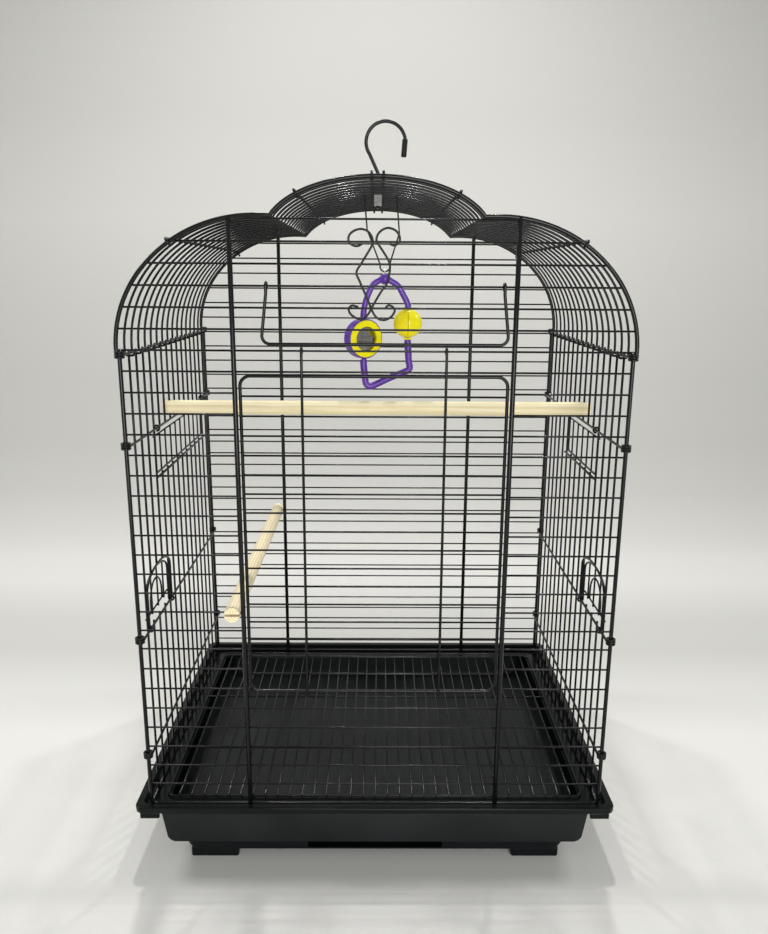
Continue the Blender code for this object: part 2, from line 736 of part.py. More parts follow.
def opening_arch(side):
    """Arch that carries the cut side wires over the low flap door."""
    middle_y = (side_y(LOW_FLAP_FIRST) + side_y(LOW_FLAP_LAST)) / 2
    half = (side_y(LOW_FLAP_LAST) - side_y(LOW_FLAP_FIRST)) / 2
    x = side * (SIDE_WIRE_X - 2 * SINK * WIRE_R)
    points = [(x, middle_y - half, ROD_C_Z)]
    for step in range(ARCH_STEPS + 1):
        turn = math.pi * step / ARCH_STEPS
        z = ROD_C_Z + low_flap_z(math.cos(turn)) + ARCH_LEAD
        points.append((x, middle_y - half * math.cos(turn), z))
    points.append((x, middle_y + half, ROD_C_Z))
    return points


def side_panel(name, side, high_last, material):
    """Rods, wires, foot rail and opening arch of one side."""
    trim = POST_R + GAP
    rail = [(side * HALF_WIDTH, y, RAIL_Z) for y in (FRONT_Y + trim, BACK_Y - trim)]
    return welded(name, (rail, POST_R, False),
                  [(side_rods(side, high_last), ROD_R, THIN_STEPS),
                   (side_wires(side, high_last) + [opening_arch(side)], WIRE_R, THIN_STEPS)], material)


def low_flap(name, side, material, parent):
    """Arched flap that turns outwards on rod C, with the inner arch for a cup."""
    x = side * FLAP_X
    middle_y = (side_y(LOW_FLAP_FIRST) + side_y(LOW_FLAP_LAST)) / 2
    half = (side_y(LOW_FLAP_LAST) - side_y(LOW_FLAP_FIRST)) / 2 - WIRE_R - FLAP_SIDE_GAP - FLAP_R
    legs = []
    for way in (-1, 1):
        centre = (side * ROD_X, middle_y + way * half, ROD_C_Z)
        legs.append(arc(centre, (side, 0, 0), (0, 0, -1), FLAP_X - ROD_X, EYE_SWEEP, 0, EYE_STEPS))
    top = []
    for step in range(ARCH_STEPS + 1):
        turn = math.pi * step / ARCH_STEPS
        top.append((x, middle_y - half * math.cos(turn), ROD_C_Z + low_flap_z(math.cos(turn))))
    frame = legs[0] + top + legs[1][::-1]
    bar_x = side * FLAP_BAR_X
    bar_z = ROD_C_Z + FLAP_BAR_RISE
    bars = [[(bar_x, middle_y + way * half, bar_z) for way in (-1, 1)]]
    for index in range(LOW_FLAP_FIRST + 1, LOW_FLAP_LAST):
        share = abs(side_y(index) - middle_y) / half
        bars.append([(x, side_y(index), bar_z - FLAP_BAR_R),
                     (x, side_y(index), ROD_C_Z + low_flap_z(share))])
    arch = [(bar_x, middle_y - CUP_ARCH_HALF, bar_z)]
    for step in range(ARCH_STEPS + 1):
        turn = math.pi * step / ARCH_STEPS
        rise = CUP_ARCH_TOP - CUP_ARCH_HALF + CUP_ARCH_HALF * math.sin(turn)
        arch.append((bar_x, middle_y - CUP_ARCH_HALF * math.cos(turn), ROD_C_Z + rise))
    arch.append((bar_x, middle_y + CUP_ARCH_HALF, bar_z))
    return welded(name, (frame, FLAP_R, False), [(bars + [arch], FLAP_BAR_R, THIN_STEPS)], material, parent)


def high_flap(name, side, high_last, material, parent):
    """Straight flap that hangs from rod A."""
    x = side * FLAP_X
    near = side_y(HIGH_FLAP_FIRST) + WIRE_R + FLAP_SIDE_GAP + FLAP_R
    far = side_y(high_last) - WIRE_R - FLAP_SIDE_GAP - FLAP_R
    low = ROD_B_Z + ROD_R + 2 * GAP + FLAP_R
    eyes = [arc((side * ROD_X, y, ROD_A_Z), (side, 0, 0), (0, 0, 1), FLAP_X - ROD_X, EYE_SWEEP, 0,
                EYE_STEPS) for y in (near, far)]
    sill = rounded([eyes[0][-1], (x, near, low), (x, far, low), eyes[1][-1]], FLAP_CORNER, CORNER_STEPS)
    frame = eyes[0] + sill[1:-1] + eyes[1][::-1]
    bar_z = ROD_A_Z - FLAP_BAR_RISE
    bars = [[(side * FLAP_BAR_X, near, bar_z), (side * FLAP_BAR_X, far, bar_z)]]
    for index in range(HIGH_FLAP_FIRST + 1, high_last):
        bars.append([(x, side_y(index), low), (x, side_y(index), bar_z + FLAP_BAR_R)])
    return welded(name, (frame, FLAP_R, False), [(bars, FLAP_BAR_R, THIN_STEPS)], material, parent)


def dome_outline():
    """Outline of a dome wire, level with the outer side of the arches, with a bend at each rod."""
    return arch_points((HALF_WIDTH + ARCH_BULGE, LOW_ROD_X), DOME_SHOULDER_STEPS,
                       (HIGH_ROD_X, CREST_RAIL_X), DOME_CROWN_STEPS, DOME_WIRE_OUT)


def dome_wire(name, y, material):
    """One arched wire of the dome, hooked under the rods at the seam."""
    outline = dome_outline()
    bend = ROD_R + 2 * GAP + WIRE_R
    inner = ROD_X - bend
    outer = outline[-1][0]
    low = SEAM_Z - bend
    hook = rounded([(inner, y, SEAM_Z + ROD_R), (inner, y, low), (outer, y, low), (outer, y, SPRING_Z)],
                   bend, DOME_HOOK_STEPS)[:-1]
    left = [(-x, y, z) for x, _, z in hook]
    run = left + [(x, y, z) for x, z in outline] + hook[::-1]
    return wire(name, run, WIRE_R, material, section=THIN_STEPS)


def dome_wire_z(x):
    """Height of a dome wire over a place across the cage, on its straight stretches."""
    outline = dome_outline()
    for (low_x, low_z), (high_x, high_z) in zip(outline, outline[1:]):
        if low_x <= x <= high_x:
            return low_z + (high_z - low_z) * (x - low_x) / (high_x - low_x)
    return SPRING_Z


def hooked_rod(x, radius):
    """A rod along the dome at x, its ends hooked over the front and back arches."""
    normal = arch_normal(x)
    reach = POST_R + GAP + radius
    runs = []
    for y, outward in ((FRONT_Y, -1), (BACK_Y, 1)):
        centre = Vector((x, y, arch_z(x)))
        runs.append(arc(centre, normal, (0, outward, 0), reach, HOOK_OVER_SWEEP, 0, ROD_HOOK_STEPS))
    return runs[0] + runs[1][::-1]


def dome(material):
    """Dome wires, and over them four rods and the two crest rails."""
    for index in range(1, SIDE_GAPS):
        dome_wire(f"dome_wire_{index:02d}", side_y(index) + DOME_SHIFT, material)
    for word, side in (("left", -1), ("right", 1)):
        for name, x in (("crest_rail_", CREST_RAIL_X), ("dome_rod_high_", HIGH_ROD_X),
                        ("dome_rod_low_", LOW_ROD_X)):
            wire(name + word, hooked_rod(side * x, ROD_R), ROD_R, material)


def main_door(material, parent):
    """Frame, bars and two uprights whose ends hook round the hinge row."""
    upright_y = HINGE_Y - ROW_R - GAP - UPRIGHT_R
    frame_y = upright_y + SINK * (UPRIGHT_R + DOOR_FRAME_R)
    bar_y = upright_y + UPRIGHT_R + GAP + ROW_R
    corners = [(BAY_X + side * DOOR_HALF, frame_y, z)
               for side, z in ((-1, DOOR_BOTTOM_Z), (1, DOOR_BOTTOM_Z), (1, DOOR_TOP_Z), (-1, DOOR_TOP_Z))]
    frame = rounded(corners, DOOR_CORNER, DOOR_CORNER_STEPS, closed=True)
    pitch = (DOOR_TOP_Z - DOOR_BOTTOM_Z) / (DOOR_BARS + 1)
    bars = []
    for index in range(1, DOOR_BARS + 1):
        z = DOOR_BOTTOM_Z + index * pitch
        bars.append([(BAY_X + side * DOOR_HALF, bar_y, z) for side in (-1, 1)])
    eye_r = ROW_R + GAP + UPRIGHT_R
    uprights = []
    for side in (-1, 1):
        x = BAY_X + side * UPRIGHT_X
        eye = arc((x, HINGE_Y, SPRING_Z), (0, -1, 0), (0, 0, 1), eye_r, EYE_SWEEP, 0, EYE_STEPS)
        uprights.append(eye + [Vector((x, upright_y, DOOR_BOTTOM_Z - UPRIGHT_TAIL))])
    return welded("main_door", (frame, DOOR_FRAME_R, True),
                  [(uprights, UPRIGHT_R, ROUND_STEPS), (bars, ROW_R, THIN_STEPS)], material, parent)


def door_bail(material, parent):
    """Loop of thick wire that hangs from a row above the door."""
    axis_z = row_z(BAIL_ROW)
    eye_r = ROW_R + GAP + BAIL_R
    top_y = HINGE_Y - eye_r
    low_y = HINGE_Y - ROW_R - 2 * GAP - 2 * UPRIGHT_R - BAIL_R - BAIL_LEAN
    eyes = [arc((BAIL_X + side * BAIL_TOP_HALF, HINGE_Y, axis_z), (0, -1, 0), (0, 0, 1), eye_r,
                EYE_SWEEP, 0, EYE_STEPS) for side in (-1, 1)]
    low = [(BAIL_X + side * BAIL_BOTTOM_HALF, low_y, axis_z - BAIL_DROP) for side in (-1, 1)]
    knee = [(BAIL_X + side * BAIL_TOP_HALF, top_y, axis_z - BAIL_KNEE) for side in (-1, 1)]
    sides = rounded([knee[0], low[0], low[1], knee[1]], BAIL_CORNER, KNEE_STEPS)
    return wire("door_bail", eyes[0] + sides + eyes[1][::-1], BAIL_R, material, parent=parent)


def scroll(material):
    """Two hand-bent scrolls of thin wire on the front rows over the door."""
    back_y = ROW_FRONT_Y - ROW_R - GAP - SCROLL_R
    front_y = back_y - 2 * SINK * SCROLL_R
    left, right = [[(x, y, SCROLL_TOP_Z - down) for x, down in curve]
                   for curve, y in ((SCROLL_CURVE_LEFT, back_y), (SCROLL_CURVE_RIGHT, front_y))]
    return welded("door_scroll", (left, SCROLL_R, False), [([right], SCROLL_R, ROUND_STEPS)], material)


def perch(name, material, start, end, slot_turn, slot_r):
    """A dowel with a slot across each end that grips a wire."""
    builder = bmesh.new()
    along = Vector(end) - Vector(start)
    turn = along.to_track_quat("Z", "Y").to_matrix().to_4x4()
    add_cylinder(builder, PERCH_R, 0, along.length, Matrix.Translation(start) @ turn, PERCH_SIDES)
    bmesh.ops.bevel(builder, geom=[edge for edge in builder.edges if not edge.is_manifold
                                   or edge.calc_face_angle() > EDGE_TURN],
                    offset=PERCH_CHAMFER, segments=1, affect="EDGES", profile=0.5)
    dowel = mesh_from(builder, name, material)
    across = slot_turn * (PERCH_R + CUT_OVER)
    width = along.normalized().cross(slot_turn) * (slot_r + PERCH_SLOT_GAP)
    for end_name, spot, inward in (("start", Vector(start), along), ("end", Vector(end), -along)):
        inner = spot + inward.normalized() * PERCH_SLOT_DEPTH
        outer = spot - inward.normalized() * CUT_OVER
        corners = [outer - across - width, inner + across + width]
        low = [min(pair) for pair in zip(*corners)]
        high = [max(pair) for pair in zip(*corners)]
        boolean(dowel, cutter_box(name + "_slot_" + end_name, low, high))
    return dowel


def perches(material):
    y = side_y(LONG_PERCH_WIRE)
    reach = SIDE_WIRE_X + PERCH_GRIP
    perch("long_perch", material, (-reach, y, LONG_PERCH_Z), (reach, y, LONG_PERCH_Z),
          Vector((0, 0, 1)), WIRE_R)
    z = row_z(SHORT_PERCH_ROW)
    perch("short_perch", material, (SHORT_PERCH_X, ROW_FRONT_Y - PERCH_GRIP - POST_R, z),
          (SHORT_PERCH_X, ROW_BACK_Y + PERCH_GRIP, z), Vector((1, 0, 0)), ROW_R)


def base_section(half_x, half_y, z):
    """A rounded rectangle of the base, its corner drawn in with its size."""
    corner = max(BASE_CORNER - (RIM_X - half_x), BASE_MIN_CORNER)
    return (half_x, -half_y, half_y, corner, z)


def base_body(material):
    """Moulded base: rim, ledge for the wire cage, walls, tray floor, step and feet."""
    seat_x = HALF_WIDTH + RIM_SEAT
    seat_y = CAGE_DEPTH / 2 + RIM_SEAT
    ledge_x = HALF_WIDTH - LEDGE_IN
    ledge_y = CAGE_DEPTH / 2 - LEDGE_IN
    under = FLOOR_Z - FLOOR_THICK
    sections = [
        base_section(STEP_TOP_HALF - BODY_WALL, STEP_DEPTH_HALF - BODY_WALL, under),
        base_section(STEP_LOW_HALF - BODY_WALL, STEP_DEPTH_HALF - BODY_WALL - STEP_DRAFT, FOOT_HEIGHT),
        base_section(STEP_LOW_HALF, STEP_DEPTH_HALF - STEP_DRAFT, FOOT_HEIGHT),
        base_section(STEP_TOP_HALF, STEP_DEPTH_HALF, STEP_TOP_Z),
        base_section(BODY_LOW_HALF - BODY_ROUND, BODY_DEPTH_HALF - BODY_ROUND, STEP_TOP_Z + GAP),
        base_section(BODY_LOW_HALF, BODY_DEPTH_HALF, STEP_TOP_Z + BODY_ROUND),
        base_section(BODY_TOP_HALF, BODY_DEPTH_HALF, UNDER_Z),
        base_section(RIM_X - RIM_LIP, RIM_Y - RIM_LIP, UNDER_Z + GAP),
        base_section(RIM_X - RIM_LIP, RIM_Y - RIM_LIP, RIM_LOW_Z),
        base_section(RIM_X, RIM_Y, RIM_LOW_Z + GAP),
        base_section(RIM_X, RIM_Y, RIM_TOP_Z - RIM_CHAMFER),
        base_section(RIM_X - RIM_CHAMFER, RIM_Y - RIM_CHAMFER, RIM_TOP_Z),
        base_section(seat_x + GAP, seat_y + GAP, RIM_TOP_Z),
        base_section(seat_x, seat_y, LEDGE_Z + GAP),
        base_section(ledge_x, ledge_y, LEDGE_Z),
        base_section(ledge_x, ledge_y, UNDER_Z),
        base_section(BODY_TOP_HALF - BODY_WALL, BODY_DEPTH_HALF - BODY_WALL, UNDER_Z - GAP),
        base_section(BODY_LOW_HALF - BODY_WALL, BODY_DEPTH_HALF - BODY_WALL, FLOOR_Z),
    ]
    base = mesh_from(stacked_shell(sections), "base_body", material)
    far = 2 * CAGE_DEPTH
    wide = 2 * CAGE_WIDTH
    boolean(base, cutter_box("fascia_cut", (-wide, -far, STEP_TOP_Z - GAP),
                             (wide, -BODY_DEPTH_HALF + FASCIA_THICK + TRAY_GAP, FASCIA_TOP_Z + GAP)))
    boolean(base, cutter_box("finger_slot", (-SLOT_HALF, -far, SLOT_LOW_Z),
                             (SLOT_HALF, -STEP_DEPTH_HALF + SLOT_DEPTH, SLOT_HIGH_Z)))
    for side in (-1, 1):
        for way in (-1, 1):
            outer_x = side * (STEP_LOW_HALF - FOOT_INSET)
            outer_y = way * (STEP_DEPTH_HALF - STEP_DRAFT - FOOT_INSET)
            corners = [(outer_x, outer_y, 0),
                       (outer_x - side * FOOT_LENGTH, outer_y - way * FOOT_DEPTH, FOOT_HEIGHT + FOOT_ROOT)]
            low = [min(pair) for pair in zip(*corners)]
            high = [max(pair) for pair in zip(*corners)]
            boolean(base, cutter_box("foot_form", low, high), "UNION")
    return base


def base_clip(name, side, way, material):
    """Snap clip under a corner of the rim, which holds the wire cage down."""
    builder = bmesh.new()
    xs = sorted(side * (RIM_X - CLIP_IN + half * CLIP_WIDTH / 2) for half in (-1, 1))
    ys = sorted((way * (RIM_Y - RIM_LIP + GAP), way * (RIM_Y - CLIP_INSET)))
    add_box(builder, (xs[0], ys[0], RIM_LOW_Z - CLIP_HEIGHT), (xs[1], ys[1], RIM_LOW_Z - GAP))
    bmesh.ops.bevel(builder, geom=builder.edges[:], offset=CLIP_ROUND, segments=1,
                    affect="EDGES", profile=0.5)
    return mesh_from(builder, name, material)


def pull_out_tray(material, parent):
    """Shallow tray with the wide fascia that closes the base's front."""
    half = min(BODY_LOW_HALF, BODY_TOP_HALF) - BODY_WALL - TRAY_SIDE_GAP
    front = -BODY_DEPTH_HALF + FASCIA_THICK / 2
    back = BODY_DEPTH_HALF - TRAY_BACK_IN
    low = FLOOR_Z + GAP
    inner = half - TRAY_WALL
    sections = [
        (half - TRAY_ROUND, front + TRAY_ROUND, back - TRAY_ROUND, TRAY_CORNER, low),
        (half, front, back, TRAY_CORNER, low + TRAY_ROUND),
        (half, front, back, TRAY_CORNER, TRAY_TOP_Z),
        (inner, front + FASCIA_THICK, back - TRAY_WALL, TRAY_CORNER - TRAY_WALL, TRAY_TOP_Z + GAP),
        (inner - TRAY_ROUND, front + FASCIA_THICK + TRAY_ROUND, back - TRAY_WALL - TRAY_ROUND,
         TRAY_CORNER - TRAY_WALL, low + TRAY_WALL),
    ]
    tray = mesh_from(stacked_shell(sections), "pull_out_tray", material, parent)
    builder = bmesh.new()
    outline = []
    bottom = STEP_TOP_Z + 2 * GAP
    for side, start in ((1, 270), (-1, 180)):
        centre = (side * (BODY_LOW_HALF - FASCIA_CORNER), 0, bottom + FASCIA_CORNER)
        outline.extend(arc(centre, (1, 0, 0), (0, 0, 1), FASCIA_CORNER, start + 90, start, KNEE_STEPS))
    outline.append(Vector((-BODY_TOP_HALF, 0, FASCIA_TOP_Z)))
    outline.append(Vector((BODY_TOP_HALF, 0, FASCIA_TOP_Z)))
    face = builder.faces.new([builder.verts.new(spot + Vector((0, -BODY_DEPTH_HALF, 0)))
                              for spot in outline])
    grown = bmesh.ops.extrude_face_region(builder, geom=[face])
    moved = [item for item in grown["geom"] if isinstance(item, bmesh.types.BMVert)]
    bmesh.ops.translate(builder, verts=moved, vec=(0, FASCIA_THICK, 0))
    bmesh.ops.recalc_face_normals(builder, faces=builder.faces[:])
    boolean(tray, cutter("fascia_form", builder), "UNION")
    return tray


def floor_grille(material):
    """Grille that lies on the base's ledge over the tray."""
    half_x = HALF_WIDTH - LEDGE_IN + GRILLE_OVERLAP
    half_y = CAGE_DEPTH / 2 - LEDGE_IN + GRILLE_OVERLAP
    cross_z = LEDGE_Z + GAP + GRILLE_R
    top = cross_z + 2 * GRILLE_R + GAP
    z = top - 2 * SINK * GRILLE_R
    corners = [(-half_x, -half_y, z), (half_x, -half_y, z), (half_x, half_y, z), (-half_x, half_y, z)]
    frame = rounded(corners, GRILLE_CORNER, CORNER_STEPS, closed=True)
    gaps = round(2 * half_x / GRILLE_PITCH)
    runs = []
    for index in range(1, gaps):
        x = -half_x + 2 * half_x * index / gaps
        runs.append([(x, -half_y, top), (x, half_y, top)])
    for share in GRILLE_CROSS:
        y = -half_y + 2 * half_y * share
        runs.append([(-half_x, y, cross_z), (half_x, y, cross_z)])
    return welded("floor_grille", (frame, GRILLE_R, True), [(runs, GRILLE_R, THIN_STEPS)], material)


RAIL_TOP_Z = arch_z(CREST_RAIL_X) + POST_R + GAP + 2 * ROD_R
STRAP_Z = RAIL_TOP_Z + GAP
BLOCK_Z = STRAP_Z + STRAP_THICK + GAP
NUT_Z = RAIL_TOP_Z - 2 * ROD_R - GAP - NUT_HEIGHT
HOOK_TOP_Z = BLOCK_Z + BLOCK_HEIGHT + HOOK_RISE


def hook_set(wire_finish, plate_finish, rubber, parent):
    """Strap, block and swivelling hook on the crown."""
    builder = bmesh.new()
    add_box(builder, (-STRAP_HALF, HOOK_Y - STRAP_WIDTH / 2, STRAP_Z),
            (STRAP_HALF, HOOK_Y + STRAP_WIDTH / 2, STRAP_Z + STRAP_THICK))
    strap = mesh_from(builder, "hook_strap", wire_finish)
    builder = bmesh.new()
    add_box(builder, (-BLOCK_HALF, HOOK_Y - BLOCK_HALF, BLOCK_Z),
            (BLOCK_HALF, HOOK_Y + BLOCK_HALF, BLOCK_Z + BLOCK_HEIGHT))
    bmesh.ops.bevel(builder, geom=builder.edges[:], offset=BLOCK_CHAMFER, segments=1,
                    affect="EDGES", profile=0.5)
    block = mesh_from(builder, "hook_block", plate_finish)
    bore = stem_bore("hook_bore", STRAP_Z - BLOCK_HEIGHT, BLOCK_Z + 2 * BLOCK_HEIGHT)
    boolean(strap, bore)
    boolean(block, bore)
    builder = bmesh.new()
    add_cylinder(builder, NUT_R, NUT_Z, NUT_Z + NUT_HEIGHT, Matrix.Translation((0, HOOK_Y, 0)), NUT_SIDES)
    nut = mesh_from(builder, "hook_nut", plate_finish, parent)
    boolean(nut, stem_bore("nut_bore", NUT_Z - NUT_HEIGHT, NUT_Z + 2 * NUT_HEIGHT))
    centre = (HOOK_CENTRE_X, HOOK_Y, HOOK_TOP_Z - HOOK_BEND)
    bend = arc(centre, (1, 0, 0), (0, 0, 1), HOOK_BEND, HOOK_START, HOOK_END, HOOK_BEND_STEPS)
    stem = [(0, HOOK_Y, NUT_Z - STEM_DROP), (0, HOOK_Y, BLOCK_Z + BLOCK_HEIGHT + HOOK_STEM)]
    tip = [bend[-1] + Vector((HOOK_TIP_LEAN, 0, -SLEEVE_LENGTH))]
    run = [Vector(spot) for spot in stem] + bend + tip
    wire("ceiling_hook", run, HOOK_R, wire_finish, parent=parent)
    sleeve = bmesh.new()
    down = tip[0] - bend[-1]
    turn = down.to_track_quat("Z", "Y").to_matrix().to_4x4()
    add_cylinder(sleeve, SLEEVE_R, SLEEVE_START, SLEEVE_LENGTH + SLEEVE_END,
                 Matrix.Translation(bend[-1]) @ turn, BORE_SIDES)
    cover = mesh_from(sleeve, "hook_tip_sleeve", rubber, parent)
    boolean(cover, cutter_cylinder("sleeve_bore", HOOK_R + GAP, SLEEVE_START - SLEEVE_END,
                                   SLEEVE_LENGTH + GAP, Matrix.Translation(bend[-1]) @ turn, BORE_SIDES))


def stem_bore(name, low, high):
    """Cutter for the hole that the hook's stem turns in."""
    return cutter_cylinder(name, HOOK_R + GAP, low, high, Matrix.Translation((0, HOOK_Y, 0)), BORE_SIDES)


TOY_WIRE_Z = dome_wire_z(HANGER_LOOP_X)
TOY_TOP_Z = TOY_WIRE_Z - TOY_DROP
BALL_Z = TOY_TOP_Z - BALL_DROP
DRUM_Z = TOY_TOP_Z - DRUM_DROP
TOY_EYE_Z = TOY_TOP_Z + TOY_BEAD_R + TOY_EYE_R - TOY_EYE_DROP
HANGER_LOOP_Z = TOY_EYE_Z + TOY_EYE_R - TOY_EYE_WIRE_R - GAP - HANGER_R + HANGER_LOOP_R


def toy_plane():
    """The toy hangs just in front of the dome wire that carries it."""
    return side_y(TOY_WIRE) + DOME_SHIFT - (WIRE_R + GAP + HANGER_R)


def toy_hanger(material, parent):
    """One thin wire, hooked over the dome wire at both ends, with a loop between."""
    wire_y = side_y(TOY_WIRE) + DOME_SHIFT
    y = toy_plane()
    eye_r = WIRE_R + GAP + HANGER_R
    eyes = [arc((x, wire_y, dome_wire_z(x)), (0, -1, 0), (0, 0, 1), eye_r, EYE_SWEEP, 0, EYE_STEPS)
            for x in (TOY_LEFT_X, TOY_RIGHT_X)]
    loop = arc((HANGER_LOOP_X, y, HANGER_LOOP_Z), (1, 0, 0), (0, 0, 1), HANGER_LOOP_R,
               HANGER_LOOP_START, HANGER_LOOP_END, HANGER_LOOP_STEPS)
    left = [(TOY_LEFT_X + HANGER_KNEE, y, TOY_WIRE_Z - HANGER_KNEE_DROP)]
    right = [(TOY_RIGHT_X + HANGER_KNEE, y, TOY_WIRE_Z - HANGER_KNEE_DROP - HANGER_KNEE)]
    run = eyes[0] + left + loop + right + eyes[1][::-1]
    return wire("toy_hanger", run, HANGER_R, material, parent=parent)


def toy_frame(material, parent):
    """Looped plastic frame whose two thin stretches are axles for the ball and drum."""
    y = toy_plane()
    taper = TOY_BEAD_R * TOY_BEAD_TAPER
    ball_top = BALL_Z + BALL_R
    ball_foot = BALL_Z - BALL_R - COLLAR_HEIGHT - TOY_FOOT_GAP
    drum_foot = DRUM_Z - DRUM_R - TOY_DRUM_GAP
    drum_top = DRUM_Z + DRUM_R + TOY_DRUM_GAP

    def bends(x, z, offsets, radius):
        return [(x + across, z + up, radius) for across, up in offsets]

    stations = [(HANGER_LOOP_X, TOY_TOP_Z, TOY_BEAD_R)]
    stations += bends(HANGER_LOOP_X, TOY_TOP_Z, TOY_BEAD_BENDS[:1], taper)
    stations += bends(HANGER_LOOP_X, TOY_TOP_Z, (TOY_BEAD_BENDS[1], TOY_RIGHT_ARM), TOY_ARM_R)
    stations += bends(BALL_X, ball_top, TOY_BALL_BENDS, TOY_ARM_R)
    stations += [(BALL_X, ball_top + TOY_STOP_GAP, TOY_AXLE_R), (BALL_X, ball_foot, TOY_AXLE_R),
                 (BALL_X, ball_foot - TOY_STOP, TOY_BAR_R)]
    stations += bends(BALL_X, DRUM_Z, TOY_ELBOW, TOY_BAR_R) + bends(DRUM_X, DRUM_Z, TOY_HEEL, TOY_BAR_R)
    stations += [(DRUM_X, drum_foot - TOY_STOP, TOY_BAR_R), (DRUM_X, drum_foot, TOY_AXLE_R),
                 (DRUM_X, drum_top, TOY_AXLE_R), (DRUM_X, drum_top + TOY_STOP, TOY_ARM_R)]
    stations += bends(DRUM_X, DRUM_Z, TOY_DRUM_BENDS, TOY_ARM_R)
    (near_x, near_z), (far_x, far_z) = TOY_BEAD_BENDS
    stations += bends(HANGER_LOOP_X, TOY_TOP_Z, (TOY_LEFT_ARM, (-far_x, far_z)), TOY_ARM_R)
    stations += bends(HANGER_LOOP_X, TOY_TOP_Z, [(-near_x, near_z)], taper)
    run = [(x, y, z) for x, z, _ in stations]
    widths = [width for _, _, width in stations]
    return wire("toy_frame", run, TOY_BAR_R, material, closed=True, parent=parent, widths=widths)


def toy_eye(material, parent):
    """Staple on the frame's bead that links it to the hanger's loop."""
    run = arc((HANGER_LOOP_X, toy_plane(), TOY_EYE_Z), (0, 1, 0), (0, 0, 1), TOY_EYE_R,
              TOY_EYE_START, TOY_EYE_END, TOY_EYE_STEPS)
    return wire("toy_eye", run, TOY_EYE_WIRE_R, material, parent=parent)


def toy_ball(left_finish, right_finish, parent):
    """Ball in two half shells round the right axle, and the collar under it."""
    y = toy_plane()
    bore = TOY_AXLE_R + AXLE_GAP
    for name, turn, finish in (("toy_ball_left", 180, left_finish), ("toy_ball_right", 0, right_finish)):
        builder = bmesh.new()
        profile = []
        bore_turn = math.asin(bore / BALL_R)
        for step in range(BALL_STEPS + 1):
            angle = bore_turn + (math.pi - 2 * bore_turn) * step / BALL_STEPS
            profile.append(Vector((BALL_R * math.sin(angle), 0, BALL_R * math.cos(angle))))
        face = builder.faces.new([builder.verts.new(spot) for spot in profile])
        open_turn = math.radians(BALL_SEAM_TURN)
        bmesh.ops.rotate(builder, verts=builder.verts[:], matrix=Matrix.Rotation(open_turn, 3, "Z"))
        bmesh.ops.spin(builder, geom=[face] + list(face.edges) + list(face.verts), axis=(0, 0, 1),
                       angle=math.pi - 2 * open_turn, steps=BALL_STEPS)
        bmesh.ops.rotate(builder, verts=builder.verts[:],
                         matrix=Matrix.Rotation(math.radians(turn - 90), 3, "Z"))
        bmesh.ops.translate(builder, verts=builder.verts[:], vec=(BALL_X, y, BALL_Z))
        mesh_from(builder, name, finish, parent)
    builder = bmesh.new()
    top = BALL_Z - BALL_R * math.cos(math.asin(bore / BALL_R)) - GAP
    shift = Matrix.Translation((BALL_X, y, 0))
    add_cylinder(builder, COLLAR_R, top - COLLAR_HEIGHT, top, shift, COLLAR_SIDES)
    collar = mesh_from(builder, "toy_ball_collar", left_finish, parent)
    boolean(collar, cutter_cylinder("collar_bore", bore, top - 2 * COLLAR_HEIGHT, top + COLLAR_HEIGHT,
                                    shift, BORE_SIDES))


def toy_drum(case_finish, ring_finish, glass_finish, parent):
    """Round mirror case on the left axle, with its ring and glass."""
    place_matrix = (Matrix.Translation((DRUM_X, toy_plane(), DRUM_Z))
                    @ Matrix.Rotation(math.radians(DRUM_TURN), 4, "Z")
                    @ Matrix.Rotation(math.radians(90), 4, "X"))
    face = DRUM_THICK / 2
    builder = bmesh.new()
    add_cylinder(builder, DRUM_R, -face, face, place_matrix, DRUM_SIDES)
    rim = [edge for edge in builder.edges if edge.calc_face_angle() > EDGE_TURN]
    bmesh.ops.bevel(builder, geom=rim, offset=DRUM_ROUND, segments=DRUM_ROUND_STEPS,
                    affect="EDGES", profile=0.5)
    case = mesh_from(builder, "toy_mirror_case", case_finish, parent)
    boolean(case, cutter_cylinder("drum_recess", DRUM_RECESS_R, face - DRUM_RECESS, 2 * face,
                                  place_matrix, DRUM_SIDES))
    boolean(case, cutter_cylinder("drum_bore", TOY_AXLE_R + AXLE_GAP, -2 * DRUM_R, 2 * DRUM_R,
                                  Matrix.Translation((DRUM_X, toy_plane(), DRUM_Z)), BORE_SIDES))
    seat = face - DRUM_RECESS + GAP
    builder = bmesh.new()
    add_cylinder(builder, DRUM_RECESS_R - GAP, seat, seat + TOY_RING_THICK, place_matrix, DRUM_SIDES)
    ring = mesh_from(builder, "toy_mirror_ring", ring_finish, parent)
    boolean(ring, cutter_cylinder("ring_bore", MIRROR_R + GAP, seat - face, seat + 2 * face,
                                  place_matrix, DRUM_SIDES))
    builder = bmesh.new()
    add_cylinder(builder, MIRROR_R, seat, seat + MIRROR_THICK, place_matrix, DRUM_SIDES)
    mesh_from(builder, "toy_mirror_glass", glass_finish, parent)


